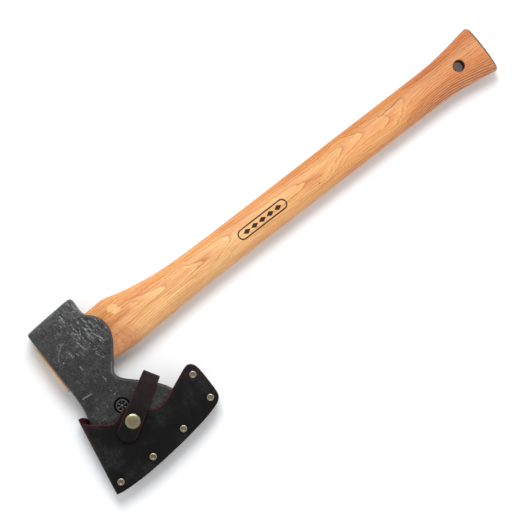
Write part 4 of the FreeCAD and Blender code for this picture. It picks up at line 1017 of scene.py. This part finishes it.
def make_sheath():
    ob = remeshed_copy("sheath_leather", "sheath_body", 0.42, 6)
    p, n = coords(ob), normals(ob)
    fold_x = -11.6 + SLOPE * (p[:, 1] + 46.0)
    # cut edges: normals that lie in the panel's plane, except round the fold
    flat = np.abs(n[:, 2])
    fold = smooth(9.0, 5.0, p[:, 0] - fold_x) * smooth(0.5, 0.8, -(n[:, 0] * 0.984 - n[:, 1] * 0.176))
    fold = np.maximum(fold, smooth(4.2, 2.6, p[:, 0] - fold_x) * smooth(-30.0, -36.0, p[:, 1]) * smooth(0.93, 0.80, np.abs(n[:, 1])))
    edge = smooth(0.90, 0.60, flat) * (1 - fold)
    inside = smooth(0.4, 0.0, np.abs(p[:, 2]) - (1.9 + np.maximum(0.075 * (p[:, 1] + 111), 0)))
    core = np.flatnonzero((flat < 0.60) & (fold < 0.3) & (np.abs(p[:, 2]) > 1.5))
    tree = KDTree(len(core))
    for i in core:
        tree.insert(p[i], int(i))
    tree.balance()
    wide = np.where(p[:, 1] > -88, 1.0, 0.25) * (1 - 0.55 * smooth(92, 99, p[:, 0]))
    reach = np.array([tree.find(q)[2] for q in p])
    edge = np.maximum(edge, smooth(1.3, 0.6, reach) * wide * (1 - fold) * 0.90)
    attribute(ob, "cut_edge", np.clip(edge, 0, 1) * (0.40 + 0.60 * smooth(-92, -84, p[:, 1])))
    warm = 0.9 * smooth(-66, -50, p[:, 1]) * smooth(16.0, 5.0, p[:, 0] - fold_x) + 0.30 * smooth(5.0, 1.5, reach) * (p[:, 1] > -90)
    attribute(ob, "warm", np.clip(warm, 0, 1))
    out = np.sign(p[:, 2]) * (n[:, 2] * np.sign(p[:, 2]) > 0.3)
    # pulled down round each rivet, gently pillowed between
    d = np.zeros(len(p))
    for x, y in RIVETS:
        r = np.hypot(p[:, 0] - x, p[:, 1] - y)
        d += -0.28 * np.exp(-(r / 5.0) ** 2)
    d += 0.20 * fbm(p, (26, 22, 40), 5, 2) + 0.07 * fbm(p, 6.0, 15, 2)
    # slight wave along the mouth
    outer = np.abs(p[:, 2]) > (3.4 + np.maximum(0.075 * (p[:, 1] + 111), 0))
    amp = np.where(outer & (out != 0), 1.0, 0.0)
    set_coords(ob, p + np.stack([0 * d, 0 * d, out * d * amp], -1))
    return ob


STRAP_T = 2.6
UX, UY = 0.8582, 0.5133
SX, SY = 29.1, -76.5
FRONT_Z = [(-20.8, 9.1), (-15, 9.9), (-8, 11.2), (0, 11.69), (8, 11.85), (16, 11.6), (26, 10.6), (36.6, 9.40)]
HALF_W = [(-11, 9.7), (0, 9.6), (15, 9.0), (36.6, 8.4), (50, 8.3)]


def strap_line():
    """Centreline stations (u, z, tilt) of the whole strap from its root on the back to its tip."""
    pts = []
    flush = lambda u: -(4.8 + 0.075 * (SY + u * UY + 111.0) + STRAP_T / 2 + 0.02)
    zb = 9.40 - 19.1
    for u in np.arange(-11, 36.6, 0.8):
        s = smooth(22.0, 36.6, u)
        pts.append((u, flush(u) * (1 - s) + zb * s, -1.0 + 0.2 * max(0, (u - 22) / 14.6)))
    for a in np.radians(np.arange(-90, 90.1, 4.5)):
        pts.append((36.6 + 9.55 * math.cos(a), (9.40 - 9.55) + 9.55 * math.sin(a),
                    0.5 * math.sin(a) if a > 0 else 0.8 * math.sin(a)))
    for u in np.arange(36.6, -20.81, -0.7)[1:]:
        pts.append((u, float(pchip(FRONT_Z, u)), 1.0 if u <= 8 else 1.0 - 0.5 * (u - 8) / 28.6))
    return np.array(pts, float)


def make_strap():
    line = strap_line()
    u, z, tilt = line.T
    centre = np.stack([SX + u * UX, SY + u * UY, z], -1)
    tan = np.gradient(centre, axis=0)
    tan /= np.linalg.norm(tan, axis=1)[:, None]
    across = np.stack([np.full(len(u), UY), np.full(len(u), -UX), -tilt * 0.075 * UX], -1)
    across -= tan * (across * tan).sum(1)[:, None]
    across /= np.linalg.norm(across, axis=1)[:, None]
    nrm = np.cross(tan, across)
    half = pchip(HALF_W, u).copy()
    # which end: stations from the bend on are the front leg; its tip is round
    n = len(u)
    is_front = np.arange(n) > n - len(np.arange(36.6, -20.81, -0.7))
    dist = np.where(is_front, u + 20.8, 99.0)
    R = 9.7
    half = np.where(dist < R, np.minimum(half, np.sqrt(np.maximum(R * R - (R - dist) ** 2, 0.01))), half)
    # rounded-rectangle section
    t2, r = STRAP_T / 2, 0.75
    nw = 36
    sec = []
    for k in range(nw + 1):
        sec.append((-1 + 2 * k / nw, 1))
    rings = []
    order = []
    # section: along the top face from -w to +w, round the edge, back along the bottom
    w_par = np.linspace(-1, 1, nw + 1)
    arc = np.linspace(0, np.pi, 9)[1:-1]
    for i in range(n):
        h = half[i]
        rr = min(r, h * 0.45)
        top = [(wp * (h - rr), t2) for wp in w_par]
        right = [(h - rr + rr * math.sin(a), t2 * math.cos(a)) for a in arc]
        bot = [(wp * (h - rr), -t2) for wp in w_par[::-1]]
        left = [(-(h - rr) - rr * math.sin(a), -t2 * math.cos(a)) for a in arc]
        order.append(top + right + bot + left)
    order = np.array(order)
    v = centre[:, None, :] + across[:, None, :] * order[..., 0:1] + nrm[:, None, :] * order[..., 1:2]
    cols = order.shape[1]
    ob = mesh_object("strap", v.reshape(-1, 3), grid_faces(n, cols))
    bm = bmesh.new()
    bm.from_mesh(ob.data)
    bmesh.ops.holes_fill(bm, edges=[e for e in bm.edges if e.is_boundary], sides=0)
    bmesh.ops.recalc_face_normals(bm, faces=bm.faces)
    bm.to_mesh(ob.data)
    bm.free()
    p, nn = coords(ob), normals(ob)
    # leather surface and the pull of the snap
    k = np.arange(len(p)) // cols
    k = np.minimum(k, n - 1)
    side = np.abs((nn * across[k]).sum(1))
    lateral = np.abs(((p - centre[k]) * across[k]).sum(1))
    rim = smooth(1.15, 0.35, half[k] - lateral) * 0.60 * smooth(-14, 4, u[k])
    attribute(ob, "warm", smooth(-2, 40, u[k]) * 0.80 * (0.6 + 0.4 * smooth(-0.3, 0.3, fbm(p, 9.0, 77, 2))))
    attribute(ob, "cut_edge", np.maximum(rim, smooth(0.35, 0.75, side)) + smooth(-18.5, -20.6, u[k]) * is_front[k] * (np.abs((nn * nrm[k]).sum(1)) < 0.7))
    d = 0.10 * fbm(p, (12, 12, 12), 55, 2) + 0.03 * fbm(p, 3.0, 59, 2)
    rs = np.hypot(p[:, 0] - SX, p[:, 1] - SY)
    d += np.where(p[:, 2] > 0, -0.22 * np.exp(-((rs - 7.0) / 3.2) ** 2), 0)
    d *= smooth(0.5, 0.15, side)
    set_coords(ob, p + nn * d[:, None])
    return ob


# ------------------------------------------------------------------ build everything
head = make_head()
dent_head(head)
th = np.linspace(0, 2 * np.pi, 96, endpoint=False)
eye_x = np.concatenate([[-12], np.linspace(-8, 82, 60)])
eye_rings = oval(eye_x, th, 0.08)
eye = closed("eye", np.concatenate([eye_rings.reshape(-1, 3)]), grid_faces(len(eye_x), 96))
bm = bmesh.new()
bm.from_mesh(eye.data)
bmesh.ops.holes_fill(bm, edges=[e for e in bm.edges if e.is_boundary], sides=0)
bmesh.ops.recalc_face_normals(bm, faces=bm.faces)
bm.to_mesh(eye.data)
bm.free()
boolean(head, eye)
smooth_by_angle(head, 50)
finish_piece(head, M_STEEL, "axe", "forged_steel", "axe_head")

handle = make_handle()
finish_piece(handle, M_WOOD, "axe", "hickory", "handle")

sheath = make_sheath()
finish_piece(sheath, M_SHEATH, "sheath", "sheath_leather", "sheath_leather")

welt = remeshed_copy("sheath_welt", "sheath_welt_strip", 0.5, 3)
attribute(welt, "cut_edge", np.full(len(welt.data.vertices), 0.6))
finish_piece(welt, M_WELT, "sheath", "welt_leather", "sheath_welt")

strap = make_strap()
finish_piece(strap, M_STRAP, None, "strap_leather", "strap_root", "strap_bend", "strap_flap")
s0 = rowv(SX, SY, 0)


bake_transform(strap)

for name, mat in [("wooden_wedge", M_WEDGE), ("ring_wedge", M_RING), ("snap_cap", M_BRASS), ("snap_socket", M_BRASS),
                  ("snap_stud", M_BRASS), ("snap_post", M_BRASS), ("edge_rivets", M_RIVET), ("edge_rivet_caps", M_RIVET),
                  ("strap_rivet_posts", M_RIVET), ("strap_rivet_caps", M_RIVET)]:
    ob = NODES[name]
    if ob.material_slots:
        for sl in ob.material_slots:
            sl.material = mat
    else:
        ob.data.materials.append(mat)

# ------------------------------------------------------------------ stage, light, camera
floor_me = bpy.data.meshes.new("floor")
S = 3.0
floor_me.from_pydata([(-S, -S, 0), (S, -S, 0), (S, S, 0), (-S, S, 0)], [], [(0, 1, 2, 3)])
floor_ob = bpy.data.objects.new("floor", floor_me)
bpy.context.scene.collection.objects.link(floor_ob)
fm = Mat("floor_paper")
fp = fm.coords()
fm.set(color=fm.mix(fm.noise(fp, 0.02, 2.0), (0.94, 0.95, 0.965, 1), (0.96, 0.97, 0.985, 1)), rough=0.9, spec=0.1)
floor_me.materials.append(fm.m)
floor_ob.location.z = -0.0005

ROLL = math.radians(-37.77)
AIM = Vector((-0.0231, 0.0034, 0.0165))
LENS = 200.0
DIST = 0.48825 * LENS / 36.0
cam_data = bpy.data.cameras.new("camera")
cam_data.lens = LENS
cam_data.sensor_width = 36.0
cam_data.clip_start, cam_data.clip_end = 0.05, 20.0
cam = bpy.data.objects.new("camera", cam_data)
bpy.context.scene.collection.objects.link(cam)
cam.location = AIM + Vector((0, 0, DIST))
cam.rotation_euler = (0, 0, ROLL)
bpy.context.scene.camera = cam


def image_dir(right, up, out):
    """A direction given in the image's axes, in the row frame."""
    c, s = math.cos(ROLL), math.sin(ROLL)
    return Vector((right * c - up * s, right * s + up * c, out))


def area(name, right, up, out, size, watts, size_y=None, color=(1, 1, 1)):
    d = bpy.data.lights.new(name, "AREA")
    d.energy, d.size, d.color = watts, size, color
    if size_y:
        d.shape, d.size_y = "RECTANGLE", size_y
    o = bpy.data.objects.new(name, d)
    bpy.context.scene.collection.objects.link(o)
    o.location = AIM + image_dir(right, up, out)
    o.rotation_mode = "QUATERNION"
    o.rotation_quaternion = (AIM - o.location).to_track_quat("-Z", "Y")
    return o


area("key", -0.12, 0.92, 1.42, 0.80, 22.5)
area("fill_right", 1.2, 0.6, 1.2, 1.2, 2.0)

# a tent: bright round the sides, dimmer overhead where the camera looks in
world = bpy.data.worlds.new("studio")
world.use_nodes = True
wt = world.node_tree
bg = wt.nodes["Background"]
tc = wt.nodes.new("ShaderNodeTexCoord")
sx = wt.nodes.new("ShaderNodeSeparateXYZ")
mr = wt.nodes.new("ShaderNodeMapRange")
mr.interpolation_type = "SMOOTHSTEP"
mr.inputs[1].default_value, mr.inputs[2].default_value = 0.55, 0.98
mr.inputs[3].default_value, mr.inputs[4].default_value = 0.96, 0.27
wt.links.new(tc.outputs["Generated"], sx.inputs[0])
wt.links.new(sx.outputs[2], mr.inputs[0])
wt.links.new(mr.outputs[0], bg.inputs[1])
bg.inputs[0].default_value = (1, 1, 1, 1)
bpy.context.scene.world = world
bpy.context.scene.view_settings.view_transform = "Standard"
bpy.context.scene.view_settings.look = "None"
